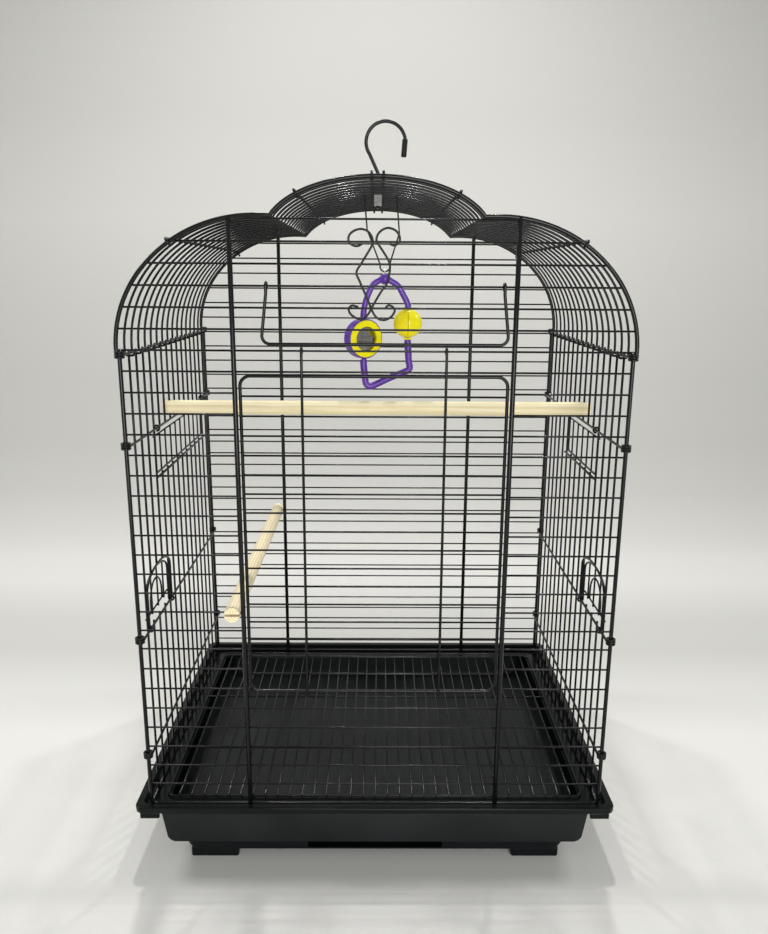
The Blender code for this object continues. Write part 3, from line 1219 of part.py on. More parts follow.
def build():
    enamel = new_material("black enamel wire", BLACK, 0.38, 0.1)
    plastic = new_material("black moulded plastic", (0.018, 0.018, 0.019), 0.42)
    wood = new_material("pale dowel", (0.80, 0.66, 0.44), 0.6)
    plated = new_material("plated steel", (0.72, 0.72, 0.70), 0.25, 1.0)
    rubber = new_material("black sleeve", (0.02, 0.02, 0.02), 0.7)
    purple = new_material("purple plastic", (0.06, 0.04, 0.42), 0.3)
    yellow = new_material("yellow plastic", (0.80, 0.62, 0.05), 0.3)
    amber = new_material("amber plastic", (0.55, 0.42, 0.05), 0.3)
    mirror = new_material("mirror", (0.6, 0.62, 0.63), 0.05, 1.0)

    front_panel(enamel)
    back_panel(enamel)
    door_hinge = joint("main_door_hinge", (BAY_X, HINGE_Y, SPRING_Z))
    main_door(enamel, door_hinge)
    door_bail(enamel, joint("bail_hinge", (BAIL_X, HINGE_Y, row_z(BAIL_ROW))))
    scroll(enamel)
    for word, side, last in (("left", -1, HIGH_FLAP_LAST_LEFT), ("right", 1, HIGH_FLAP_LAST_RIGHT)):
        side_panel(word + "_side_panel", side, last, enamel)
        low_hinge = joint(word + "_low_flap_hinge", (side * ROD_X, side_y(LOW_FLAP_FIRST), ROD_C_Z))
        low_flap(word + "_low_flap", side, enamel, low_hinge)
        high_hinge = joint(word + "_high_flap_hinge", (side * ROD_X, side_y(HIGH_FLAP_FIRST), ROD_A_Z))
        high_flap(word + "_high_flap", side, last, enamel, high_hinge)
    dome(enamel)
    hook_set(enamel, plated, rubber, joint("hook_swivel", (0, HOOK_Y, HOOK_TOP_Z)))
    perches(wood)
    base_body(plastic)
    for way, depth_word in ((-1, "front"), (1, "back")):
        for side, word in ((-1, "left"), (1, "right")):
            base_clip("base_clip_" + depth_word + "_" + word, side, way, plastic)
    pull_out_tray(plastic, joint("tray_slide", (0, -BODY_DEPTH_HALF, FLOOR_Z)))
    floor_grille(enamel)
    swing = joint("toy_swing", (HANGER_LOOP_X, side_y(TOY_WIRE) + DOME_SHIFT, dome_wire_z(TOY_LEFT_X)))
    toy_hanger(enamel, swing)
    toy_frame(purple, swing)
    toy_eye(plated, swing)
    toy_ball(amber, yellow, joint("toy_ball_axle", (BALL_X, toy_plane(), BALL_Z)))
    toy_drum(purple, yellow, mirror, joint("toy_mirror_axle", (DRUM_X, toy_plane(), DRUM_Z)))


clear_scene()
PARTS = new_collection("bird_cage")
CUTTERS = new_collection("cutters")
SCRATCH = bpy.data.meshes.new("scratch")
build()
bpy.data.meshes.remove(SCRATCH)
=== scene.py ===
# A black wire bird cage on its moulded base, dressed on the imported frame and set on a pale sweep.
import math

import bmesh
import bpy
from mathutils import Matrix, Vector


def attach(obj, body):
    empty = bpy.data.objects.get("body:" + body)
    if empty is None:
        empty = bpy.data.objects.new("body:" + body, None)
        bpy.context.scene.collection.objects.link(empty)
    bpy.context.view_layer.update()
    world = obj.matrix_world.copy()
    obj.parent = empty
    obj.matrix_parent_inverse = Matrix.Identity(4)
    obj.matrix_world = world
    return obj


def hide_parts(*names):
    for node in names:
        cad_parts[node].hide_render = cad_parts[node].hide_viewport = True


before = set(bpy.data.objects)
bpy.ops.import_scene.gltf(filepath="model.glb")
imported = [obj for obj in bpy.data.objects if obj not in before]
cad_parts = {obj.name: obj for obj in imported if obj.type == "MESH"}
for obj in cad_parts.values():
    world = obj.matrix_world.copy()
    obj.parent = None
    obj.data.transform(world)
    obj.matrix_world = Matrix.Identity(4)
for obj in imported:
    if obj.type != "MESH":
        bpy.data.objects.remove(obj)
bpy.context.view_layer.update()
print("frame loaded with", len(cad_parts), "nodes")

# sizes that several wire pieces share, in metres
cage = {
    "halfWidth": 0.220, "halfDepth": 0.165, "railZ": 0.060, "gap": 0.0003, "sink": 0.8,
    "postR": 0.0019, "thickPostR": 0.0022, "rowR": 0.0009, "wireR": 0.0011, "rodR": 0.0012,
    "bayX": -0.0025, "thickPostX": 0.12025,
    "lowRows": 8, "lowPitch": 0.0206, "doorRows": 14, "doorPitch": 0.0186, "topRows": 7, "topPitch": 0.01807,
    "backLowRows": 20, "backLowPitch": 0.01554, "backTopPitch": 0.0180, "sideGaps": 16, "seamDrop": 0.0038,
    "shoulderX": 0.100, "shoulderRise": 0.1111, "bulge": 0.0026,
    "notchX": 0.089, "crownHalf": 0.0951, "crownRise": 0.0481,
}
halfWidth, halfDepth, railZ, gap, sink = (cage[key] for key in ("halfWidth", "halfDepth", "railZ", "gap", "sink"))
postR, thickPostR, rowR, wireR, rodR = (cage[key] for key in ("postR", "thickPostR", "rowR", "wireR", "rodR"))
bayX, thickPostX, sideGaps = cage["bayX"], cage["thickPostX"], cage["sideGaps"]
frontY, backY = -halfDepth, halfDepth
rowFrontY, rowBackY = (y + sink * (postR + rowR) for y in (frontY, backY))
doorRow = cage["lowRows"] + cage["doorRows"]
ringR = postR + gap + rodR
rodX = halfWidth - ringR
sideWireX = rodX + sink * (rodR + wireR)
ledgeZ = railZ - postR - gap
ways = (-1, 1)
rowSides, rodSides, postSides = 8, 12, 14
sharpTurn = 40  # degrees


def rowZ(row):
    low = min(row, cage["lowRows"])
    middle = min(max(row - cage["lowRows"], 0), cage["doorRows"])
    top = max(row - doorRow, 0)
    return railZ + low * cage["lowPitch"] + middle * cage["doorPitch"] + top * cage["topPitch"]


def backRowZ(row):
    low = min(row, cage["backLowRows"])
    return railZ + low * cage["backLowPitch"] + (row - low) * cage["backTopPitch"]


def sideY(index):
    return frontY + index * 2 * halfDepth / sideGaps


springZ = rowZ(doorRow + 1)
seamZ = springZ - cage["seamDrop"]
shoulderX, shoulderRise, crownHalf, crownRise = (
    cage[key] for key in ("shoulderX", "shoulderRise", "crownHalf", "crownRise"))
outerX = halfWidth + cage["bulge"]
shoulderHalf = outerX - shoulderX
notchTurn = math.asin((cage["notchX"] - shoulderX) / shoulderHalf)
crownTurn = math.asin(cage["notchX"] / crownHalf)
crownZ = springZ + shoulderRise * math.cos(notchTurn) - crownRise * math.cos(crownTurn)


def archZ(x):  # height of the scalloped arch over a place across the cage
    reach = abs(x)
    if reach < cage["notchX"]:
        return crownZ + crownRise * math.sqrt(1 - (reach / crownHalf) ** 2)
    along = min((reach - shoulderX) / shoulderHalf, 1.0)
    return springZ + shoulderRise * math.sqrt(1 - along ** 2)


def archHalf(z):  # half the width of the arch at a height
    if z <= springZ:
        return halfWidth
    rise = min((z - springZ) / shoulderRise, 1.0)
    return shoulderX + shoulderHalf * math.sqrt(1 - rise ** 2)


def archNormal(x):
    step = 0.0001
    return Vector((archZ(x - step) - archZ(x + step), 0, 2 * step)).normalized()


def archOutline(steps, offset=0.0):
    # the arch from the left spring to the right one, moved out from its centre line
    left = []
    for step in range(steps + 1):
        turn = math.pi / 2 + (notchTurn - math.pi / 2) * step / steps
        out = offset * min(1.0, 4 * (1 - math.sin(turn)))
        left.append((-shoulderX - (shoulderHalf + out) * math.sin(turn),
                     springZ + (shoulderRise + out) * math.cos(turn)))
    turns = [crownTurn * (2 * step / steps - 1) for step in range(1, steps)]
    crown = [((crownHalf + offset) * math.sin(turn), crownZ + (crownRise + offset) * math.cos(turn))
             for turn in turns]
    return left + crown + [(-x, z) for x, z in reversed(left)]


# helpers for bent wires and other shapes

def arc(centre, first, second, radius, start, end, steps):
    turns = [math.radians(start + (end - start) * step / steps) for step in range(steps + 1)]
    return [Vector(centre) + radius * (math.cos(turn) * Vector(first) + math.sin(turn) * Vector(second))
            for turn in turns]


def rounded(points, radius, steps=8, closed=False):
    corners = [Vector(point) for point in points]
    result = []
    for index, corner in enumerate(corners):
        if not closed and index in (0, len(corners) - 1):
            result.append(corner)
            continue
        back = (corners[index - 1] - corner).normalized()
        ahead = (corners[(index + 1) % len(corners)] - corner).normalized()
        half = back.angle(ahead) / 2
        centre = corner + (back + ahead).normalized() * (radius / math.sin(half))
        start, end = (corner + way * (radius / math.tan(half)) - centre for way in (back, ahead))
        sweep = start.angle(end)
        for step in range(steps + 1):
            share = step / steps
            spoke = start * math.sin((1 - share) * sweep) + end * math.sin(share * sweep)
            result.append(centre + spoke / math.sin(sweep))
    return result


def smoothRun(points, steps, closed=False):
    # a smooth line through a few points, as a Catmull-Rom spline
    spots = [Vector(point) for point in points]
    count = len(spots)
    result = []
    for index in range(count if closed else count - 1):
        a, b, c, d = (spots[(index + k) % count if closed else min(max(index + k, 0), count - 1)]
                      for k in (-1, 0, 1, 2))
        for step in range(steps):
            t = step / steps
            result.append(0.5 * ((2 * b) + (c - a) * t + (2 * a - 5 * b + 4 * c - d) * t ** 2
                                 + (3 * b - a - 3 * c + d) * t ** 3))
    return result if closed else result + [spots[-1]]


def pathFrames(path, widths, closed):
    points = [Vector(spot) for spot in path]
    last = len(points) - 1
    tangents = []
    for index in range(last + 1):
        before, after = max(index - 1, 0), min(index + 1, last)
        if closed:
            before, after = index - 1, (index + 1) % (last + 1)
        tangents.append((points[after] - points[before]).normalized())
    across = tangents[0].cross((0, 1, 0) if abs(tangents[0].y) < 0.9 else (1, 0, 0)).normalized()
    frames = []
    for index, tangent in enumerate(tangents):
        if index:
            across = tangents[index - 1].rotation_difference(tangent) @ across
        turn = Matrix((across, tangent.cross(across), tangent)).transposed().to_4x4()
        size = Matrix.Diagonal((widths[index], widths[index], 1, 1))
        frames.append(Matrix.Translation(points[index]) @ turn @ size)
    return frames + frames[:1] if closed else frames


def extrudeRing(work, edges):
    # grows the next ring in place and gives its vertices and edges
    grown = bmesh.ops.extrude_edge_only(work, edges=edges)["geom"]
    ring = vertsOf(grown)
    return ring, [item for item in grown if isinstance(item, bmesh.types.BMEdge)
                  and all(vert in ring for vert in item.verts)]


def vertsOf(grown):
    return [item for item in grown if isinstance(item, bmesh.types.BMVert)]


def faceOut(work):
    bmesh.ops.recalc_face_normals(work, faces=work.faces[:])


wireEnd = {"reach": 0.45, "width": 0.7}


def sweepWire(path, radius, sides=10, closed=False, widths=None):
    # one wire as a bmesh: a circle extruded along the path, with dipped, rounded ends
    widths = widths or [radius] * len(path)
    frames = pathFrames(path, widths, closed)
    if not closed:
        tail, tip = (Matrix.Translation((0, 0, way * wireEnd["reach"] * width))
                     @ Matrix.Diagonal((wireEnd["width"], wireEnd["width"], 1, 1))
                     for way, width in ((-1, widths[0]), (1, widths[-1])))
        frames = [frames[0] @ tail] + frames + [frames[-1] @ tip]
    work = bmesh.new()
    bmesh.ops.create_circle(work, segments=sides, radius=1.0)
    bmesh.ops.transform(work, verts=work.verts[:], matrix=frames[0])
    edges = firstEdges = work.edges[:]
    for before, after in zip(frames, frames[1:]):
        ring, edges = extrudeRing(work, edges)
        bmesh.ops.transform(work, verts=ring, matrix=after @ before.inverted())
    if closed:
        bmesh.ops.remove_doubles(work, verts=work.verts[:], dist=1e-6)
    else:
        bmesh.ops.edgeloop_fill(work, edges=firstEdges)
        bmesh.ops.edgeloop_fill(work, edges=edges)
    faceOut(work)
    return work


scratch = bpy.data.meshes.new("scratch")


def addWires(piece, runs, radius, sides=10, closed=False, widths=None):
    for run in runs:
        wire = sweepWire(run, radius, sides, closed, widths)
        wire.to_mesh(scratch)
        wire.free()
        piece.from_mesh(scratch)


def addWelds(piece, spots, size):
    # small beads of enamel where wires are welded
    for spot in spots:
        made = bmesh.ops.create_icosphere(piece, subdivisions=1, radius=1.0)
        bmesh.ops.transform(piece, verts=made["verts"],
                            matrix=Matrix.Translation(spot) @ Matrix.Diagonal((*size, 1)))


def roundEdges(work, edges, radius, segments):
    bmesh.ops.bevel(work, geom=edges, offset=radius, segments=segments, affect="EDGES", profile=0.5, material=-1)


def newCylinder(radius, low, high, place, sides=32, bevel=0.0, segments=2):
    rimTurn = 1.2  # an edge that turns more than this is one of the two rims
    work = bmesh.new()
    made = bmesh.ops.create_cone(work, cap_ends=True, segments=sides, radius1=radius, radius2=radius,
                                 depth=high - low)
    bmesh.ops.translate(work, verts=made["verts"], vec=(0, 0, (low + high) / 2))
    if bevel:
        roundEdges(work, [edge for edge in work.edges if edge.calc_face_angle() > rimTurn], bevel, segments)
    bmesh.ops.transform(work, verts=work.verts[:], matrix=place)
    return work


def newBox(low, high, bevel=0.0, segments=2):
    low, high = Vector(low), Vector(high)
    work = bmesh.new()
    bmesh.ops.create_cube(work, size=1.0)
    bmesh.ops.scale(work, verts=work.verts[:], vec=high - low)
    bmesh.ops.translate(work, verts=work.verts[:], vec=(low + high) / 2)
    if bevel:
        roundEdges(work, work.edges[:], bevel, segments)
    return work


def newObject(name, work):
    mesh = bpy.data.meshes.new(name)
    work.to_mesh(mesh)
    work.free()
    item = bpy.data.objects.new(name, mesh)
    bpy.context.scene.collection.objects.link(item)
    return item


def shade(mesh):
    mesh.shade_smooth()
    mesh.set_sharp_from_angle(angle=math.radians(sharpTurn))


def makePiece(work, name, body, nodes, finish=None):
    piece = newObject(name, work)
    piece.data.materials.append(finish or enamel)
    shade(piece.data)
    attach(piece, body)
    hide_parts(*nodes)
    return piece


def carve(piece, shapes, operation="DIFFERENCE"):
    # cuts a piece with other shapes, or joins them on, and keeps only the result
    tools = [newObject("tool", shape) for shape in shapes]
    for tool in tools:
        change = piece.modifiers.new("carve", "BOOLEAN")
        change.operation = operation
        change.solver = "EXACT"
        change.object = tool
    result = bpy.data.meshes.new_from_object(piece.evaluated_get(bpy.context.evaluated_depsgraph_get()))
    piece.modifiers.clear()
    old, piece.data = piece.data, result
    shade(result)
    for mesh in [old] + [tool.data for tool in tools]:
        bpy.data.meshes.remove(mesh)
    result.name = piece.name


# finishes

def setInputs(tree, node, inputs):
    # gives a node its values, and links what comes from another node
    for key, value in inputs.items():
        if isinstance(value, bpy.types.NodeSocket):
            tree.links.new(value, node.inputs[key])
        else:
            node.inputs[key].default_value = value


def newNode(tree, kind, inputs=None, **settings):
    node = tree.nodes.new("ShaderNode" + kind)
    for key, value in settings.items():
        setattr(node, key, value)
    setInputs(tree, node, inputs or {})
    return node


def newFinish(name):
    finish = bpy.data.materials.new(name)
    finish.use_nodes = True
    return finish, finish.node_tree, finish.node_tree.nodes["Principled BSDF"]


def spotsOn(tree, stretch=(1, 1, 1), shift=(0, 0, 0)):
    coords = newNode(tree, "TexCoord").outputs["Object"]
    return newNode(tree, "Mapping", {"Vector": coords, "Location": shift, "Scale": stretch}).outputs["Vector"]


def noiseOn(tree, scale, detail, stretch=(1, 1, 1)):
    spots = spotsOn(tree, stretch)
    return newNode(tree, "TexNoise", {"Scale": scale, "Detail": detail, "Vector": spots}).outputs["Fac"]


def rampOf(tree, source, stops):
    ramp = newNode(tree, "ValToRGB", {"Fac": source})
    for end in (0, -1):
        ramp.color_ramp.elements[end].position = stops[end][0]
        ramp.color_ramp.elements[end].color = (*stops[end][1], 1)
    for position, colour in stops[1:-1]:
        ramp.color_ramp.elements.new(position).color = (*colour, 1)
    return ramp.outputs["Color"]


def reliefOf(tree, source, depth):
    return newNode(tree, "Bump", {"Distance": depth, "Strength": 1.0, "Height": source}).outputs["Normal"]


grain = {"mottle": 4.0, "gloss": 3.0, "relief": 2.0, "low": 0.3, "high": 0.7}  # noise detail and the span used


def makeFinish(name, look):
    # a moulded, coated or plated surface: mottled colour, uneven gloss and a fine relief
    finish, tree, shader = newFinish(name)
    mottle = noiseOn(tree, look["mottleScale"], grain["mottle"])
    haze = noiseOn(tree, look["glossScale"], grain["gloss"])
    low, high = look["roughness"]
    gloss = newNode(tree, "MapRange", {"Value": haze, "From Min": grain["low"], "From Max": grain["high"],
                                       "To Min": low, "To Max": high})
    setInputs(tree, shader, {
        "Base Color": rampOf(tree, mottle, [(grain["low"], look["dark"]), (grain["high"], look["light"])]),
        "Roughness": gloss.outputs["Result"],
        "Normal": reliefOf(tree, noiseOn(tree, look["reliefScale"], grain["relief"]), look["relief"]),
        "Metallic": look.get("metallic", 0.0), "Specular IOR Level": look.get("specular", 0.5)})
    return finish


dowelSet = {
    "ringScale": 130.0, "ringStretch": 0.06, "fibreScale": 220.0, "fibreStretch": 0.035,
    "distortion": 2.5, "ringDetail": 2.0, "ringDetailScale": 1.5, "fibreDetail": 5.0, "stops": (0.25, 0.5, 0.75),
    "fibreShare": 0.55, "relief": 0.00008, "roughness": 0.6, "specular": 0.35,
}


def makeDowel(name, along, pith, tones):
    # pale turned wood: grain lines along the dowel, rings on its ends
    finish, tree, shader = newFinish(name)
    ringStretch, fibreStretch = (tuple(dowelSet[key] if axis == along else 1 for axis in "XYZ")
                                 for key in ("ringStretch", "fibreStretch"))
    rings = newNode(tree, "TexWave", {
        "Scale": dowelSet["ringScale"], "Distortion": dowelSet["distortion"],
        "Detail": dowelSet["ringDetail"], "Detail Scale": dowelSet["ringDetailScale"],
        "Vector": spotsOn(tree, ringStretch, pith)}, wave_type="RINGS", rings_direction=along)
    fibre = noiseOn(tree, dowelSet["fibreScale"], dowelSet["fibreDetail"], fibreStretch)
    mix = newNode(tree, "Mix", {"Factor": dowelSet["fibreShare"], "A": rings.outputs["Fac"], "B": fibre})
    setInputs(tree, shader, {
        "Base Color": rampOf(tree, mix.outputs["Result"], list(zip(dowelSet["stops"], tones))),
        "Normal": reliefOf(tree, fibre, dowelSet["relief"]),
        "Roughness": dowelSet["roughness"], "Specular IOR Level": dowelSet["specular"]})
    return finish


enamel = makeFinish("blackEnamel", {
    "dark": (0.0034, 0.0036, 0.0038), "light": (0.0058, 0.0061, 0.0063), "mottleScale": 60.0,
    "roughness": (0.17, 0.25), "glossScale": 90.0, "reliefScale": 700.0, "relief": 0.000012, "specular": 0.24})
mouldedBlack = makeFinish("mouldedBlack", {
    "dark": (0.0042, 0.0058, 0.0062), "light": (0.0060, 0.0080, 0.0085), "mottleScale": 25.0,
    "roughness": (0.19, 0.26), "glossScale": 40.0, "reliefScale": 1400.0, "relief": 0.000010, "specular": 0.13})
trayBlack = makeFinish("trayBlack", {
    "dark": (0.0056, 0.0076, 0.0078), "light": (0.0112, 0.0142, 0.0142), "mottleScale": 18.0,
    "roughness": (0.34, 0.48), "glossScale": 22.0, "reliefScale": 900.0, "relief": 0.00003, "specular": 0.20})
longDowel = makeDowel("longDowel", "X", (0, 0.006, -0.434),
                      ((0.84, 0.72, 0.43), (0.93, 0.82, 0.53), (0.97, 0.90, 0.63)))
shortDowel = makeDowel("shortDowel", "Y", (0.127, 0, -0.264),
                       ((0.78, 0.64, 0.38), (0.90, 0.78, 0.52), (0.95, 0.87, 0.62)))
plated = makeFinish("platedSteel", {
    "dark": (0.50, 0.50, 0.48), "light": (0.72, 0.71, 0.68), "mottleScale": 160.0,
    "roughness": (0.22, 0.38), "glossScale": 200.0, "reliefScale": 900.0, "relief": 0.00005, "metallic": 1.0})
sleeveBlack = makeFinish("sleeveBlack", {
    "dark": (0.006, 0.006, 0.006), "light": (0.011, 0.011, 0.011), "mottleScale": 120.0,
    "roughness": (0.5, 0.65), "glossScale": 120.0, "reliefScale": 1500.0, "relief": 0.00006, "specular": 0.2})
plastic = {"glossScale": 90.0, "reliefScale": 500.0, "relief": 0.00002}
purple = makeFinish("purplePlastic", plastic | {
    "dark": (0.085, 0.024, 0.27), "light": (0.13, 0.042, 0.38), "mottleScale": 40.0,
    "roughness": (0.20, 0.30), "specular": 0.4})
yellow = makeFinish("yellowPlastic", plastic | {
    "dark": (0.90, 0.79, 0.004), "light": (0.95, 0.86, 0.008), "mottleScale": 45.0,
    "roughness": (0.20, 0.30), "specular": 0.3})
amber = makeFinish("amberPlastic", plastic | {
    "dark": (0.88, 0.72, 0.006), "light": (0.95, 0.82, 0.012), "mottleScale": 45.0,
    "roughness": (0.20, 0.32), "specular": 0.3})
paleZinc = makeFinish("paleZinc", {
    "dark": (0.62, 0.58, 0.48), "light": (0.78, 0.74, 0.64), "mottleScale": 180.0,
    "roughness": (0.35, 0.5), "glossScale": 150.0, "reliefScale": 900.0, "relief": 0.00005})
mirrorGlass = makeFinish("mirrorGlass", {
    "dark": (0.26, 0.25, 0.23), "light": (0.34, 0.33, 0.30), "mottleScale": 70.0,
    "roughness": (0.03, 0.10), "glossScale": 130.0, "reliefScale": 120.0, "relief": 0.00004, "metallic": 1.0})
print("finishes made")

# front and back panels

panel = {"steps": 30, "corner": 0.006, "lastRowUnderDoor": 5, "weld": (0.0019, 0.0014, 0.0013)}
postXs = [bayX + way * thickPostX for way in ways]


def panelPiece(name, y, rowY, postY, rows, nodes):
    arch = [(x, y, z) for x, z in archOutline(panel["steps"])]
    corners = [(halfWidth, y, seamZ), (halfWidth, y, railZ), (-halfWidth, y, railZ), (-halfWidth, y, seamZ)]
    work = bmesh.new()
    addWires(work, [arch + rounded(corners, panel["corner"])], postR, postSides, closed=True)
    addWires(work, [[(x, postY, railZ), (x, postY, archZ(x))] for x in postXs], thickPostR, postSides)
    addWires(work, [[(a, rowY, z), (b, rowY, z)] for a, b, z in rows], rowR, rowSides)
    welds = []
    for a, b, z in rows:
        welds += [(x, (y + rowY) / 2, z) for x in (a, b) if abs(abs(x) - archHalf(z)) < 1e-6]
        welds += [(x, rowY - rowR, z) for x in postXs if a - rowR < x < b + rowR]
    addWelds(work, welds, panel["weld"])
    makePiece(work, name, "root", nodes)


frontRows = []
for row in range(1, doorRow + cage["topRows"] + 1):
    half = archHalf(rowZ(row))
    if panel["lastRowUnderDoor"] < row < doorRow:
        frontRows += [(-half, postXs[0], rowZ(row)), (postXs[1], half, rowZ(row))]
    else:
        frontRows.append((-half, half, rowZ(row)))
panelPiece("frontPanel", frontY, rowFrontY, rowFrontY - sink * (rowR + thickPostR), frontRows,
           ["front_low_grid", "front_left_grid", "front_right_grid", "front_top_grid"])

backZs = []
while backRowZ(len(backZs) + 1) < springZ + shoulderRise - 2 * rowR:
    backZs.append(backRowZ(len(backZs) + 1))
panelPiece("backPanel", backY, rowBackY, rowBackY - rowR - gap - thickPostR,
           [(-archHalf(z), archHalf(z), z) for z in backZs], ["back_panel"])
print("front and back panels made")

# side panels with their flap doors

sides = {
    "rodA": 0.4195, "rodB": 0.3711, "rodC": 0.2346, "rodD": 0.1143, "ringSweep": 250.0,
    "coilR": 0.0012, "coilStep": 0.0021,
    "lowFirst": 1, "lowLast": 5, "highFirst": 4, "highLast": {-1: 14, 1: 10},
    "archTop": 0.0500, "archShoulder": 0.0340, "archLead": 0.0040,
    "flapR": 0.0011, "barR": 0.0009, "flapGap": 0.0011, "barRise": 0.0090,
    "cupHalf": 0.0195, "cupTop": 0.0370, "flapCorner": 0.004, "eyeSweep": 270.0, "weld": (0.0012, 0.0015, 0.0012),
}
rodA, rodB, rodC, flapR, barR, eyeSweep = (
    sides[key] for key in ("rodA", "rodB", "rodC", "flapR", "barR", "eyeSweep"))
lowFirst, lowLast, highFirst, highLasts = (sides[key] for key in ("lowFirst", "lowLast", "highFirst", "highLast"))
flapX = rodX + rodR + gap + flapR
flapBarX = flapX + sink * (flapR + barR)
flapInset = wireR + sides["flapGap"] + flapR
lowMiddleY = (sideY(lowFirst) + sideY(lowLast)) / 2
lowHalf = (sideY(lowLast) - sideY(lowFirst)) / 2


def lowRise(share):
    return sides["archShoulder"] + (sides["archTop"] - sides["archShoulder"]) * math.sqrt(max(1 - share ** 2, 0))


def lowArch(x, half, lead=0.0, steps=40):
    places = [math.cos(math.pi * step / steps) for step in range(steps + 1)]
    return [Vector((x, lowMiddleY - half * place, rodC + lowRise(place) + lead)) for place in places]


def sidePiece(name, side, node):
    highLast = highLasts[side]
    postX, wireX = side * halfWidth, side * sideWireX
    work = bmesh.new()
    addWires(work, [[(postX, -way * (halfDepth - postR - gap), railZ) for way in (1, -1)]], postR, postSides)
    heights = (seamZ, sides["rodD"], rodC, rodA)
    rods = []
    for z in heights:
        rods.append(arc((postX, frontY, z), (-side, 0, 0), (0, -1, 0), ringR, sides["ringSweep"], 0, 20)
                    + arc((postX, backY, z), (-side, 0, 0), (0, 1, 0), ringR, 0, sides["ringSweep"], 20))
    rods.append([(side * rodX, y, rodB) for y in (sideY(highFirst) - wireR, sideY(highLast) + wireR)])
    addWires(work, rods, rodR, rodSides)
    coils = [arc((postX, y, z + way * sides["coilStep"]), (1, 0, 0), (0, 1, 0), ringR, 0, 360, 24)[:-1]
             for y in (frontY, backY) for z in heights for way in ways]
    addWires(work, coils, sides["coilR"], closed=True)
    runs, welds = [], []
    for index in range(1, sideGaps):
        stretches = [railZ, seamZ + rodR]
        if lowFirst < index < lowLast:
            share = abs(2 * index - lowFirst - lowLast) / (lowLast - lowFirst)
            stretches[1:1] = [rodC + rodR, rodC + lowRise(share) + sides["archLead"] - wireR]
        if highFirst < index < highLast:
            stretches[-1:-1] = [rodB + rodR, rodA - rodR]
        for ends in zip(stretches[::2], stretches[1::2]):
            runs.append([(wireX, sideY(index), z) for z in ends])
        welds += [(side * (rodX + sideWireX) / 2, sideY(index), z) for z in heights]
    addWires(work, runs, wireR)
    archX = side * (sideWireX - 2 * sink * wireR)
    feet = [[(archX, lowMiddleY + way * lowHalf, rodC)] for way in ways]
    addWires(work, [feet[0] + lowArch(archX, lowHalf, sides["archLead"]) + feet[1]], wireR)
    addWelds(work, welds, sides["weld"])
    makePiece(work, name, "root", [node])


def lowFlapPiece(name, side, node):
    x, barX, barZ = side * flapX, side * flapBarX, rodC + sides["barRise"]
    half, cupHalf = lowHalf - flapInset, sides["cupHalf"]
    ends = [lowMiddleY + way * half for way in ways]
    work = bmesh.new()
    eyes = [arc((side * rodX, y, rodC), (side, 0, 0), (0, 0, -1), flapX - rodX, eyeSweep, 0, 18) for y in ends]
    addWires(work, [eyes[0] + lowArch(x, half) + eyes[1][::-1]], flapR, rodSides)
    bars = [[(barX, y, barZ) for y in ends]]
    weldYs = ends[:]
    for y in (sideY(index) for index in range(lowFirst + 1, lowLast)):
        bars.append([(x, y, barZ - barR), (x, y, rodC + lowRise(abs(y - lowMiddleY) / half))])
        weldYs.append(y)
    cup = arc((barX, lowMiddleY, rodC + sides["cupTop"] - cupHalf), (0, -1, 0), (0, 0, 1), cupHalf, 0, 180, 30)
    cupEnds = [[(barX, lowMiddleY + way * cupHalf, barZ)] for way in ways]
    addWires(work, bars + [cupEnds[0] + cup + cupEnds[1]], barR)
    addWelds(work, [((x + barX) / 2, y, barZ) for y in weldYs], sides["weld"])
    makePiece(work, name, node, [node])


def highFlapPiece(name, side, node):
    x, barX, barZ = side * flapX, side * flapBarX, rodA - sides["barRise"]
    near, far = sideY(highFirst) + flapInset, sideY(highLasts[side]) - flapInset
    low = rodB + rodR + 2 * gap + flapR
    work = bmesh.new()
    eyes = [arc((side * rodX, y, rodA), (side, 0, 0), (0, 0, 1), flapX - rodX, eyeSweep, 0, 18)
            for y in (near, far)]
    sill = rounded([eyes[0][-1], (x, near, low), (x, far, low), eyes[1][-1]], sides["flapCorner"])
    addWires(work, [eyes[0] + sill[1:-1] + eyes[1][::-1]], flapR, rodSides)
    barYs = [sideY(index) for index in range(highFirst + 1, highLasts[side])]
    bars = [[(barX, near, barZ), (barX, far, barZ)]] + [[(x, y, low), (x, y, barZ + barR)] for y in barYs]
    addWires(work, bars, barR)
    addWelds(work, [((x + barX) / 2, y, barZ) for y in barYs], sides["weld"])
    makePiece(work, name, node, [node])


for word, side in (("left", -1), ("right", 1)):
    sidePiece(word + "SidePanel", side, word + "_side_panel")
    lowFlapPiece(word + "LowFlap", side, word + "_low_flap")
    highFlapPiece(word + "HighFlap", side, word + "_high_flap")
print("side panels and flaps made")

# dome

domeSet = {
    "shift": 2 * wireR + gap, "offset": 0.0008, "steps": 34, "rodXs": (0.0048, 0.067, 0.173),
    "weldRise": 0.0019, "weld": (0.0013, 0.0014, 0.0012),
}
crestX = domeSet["rodXs"][0]


def hookedRod(x):
    front, back = (arc((x, y, archZ(x)), archNormal(x), (0, outward, 0), ringR, 180, 0, 18)
                   for y, outward in ((frontY, -1), (backY, 1)))
    return front + back[::-1]


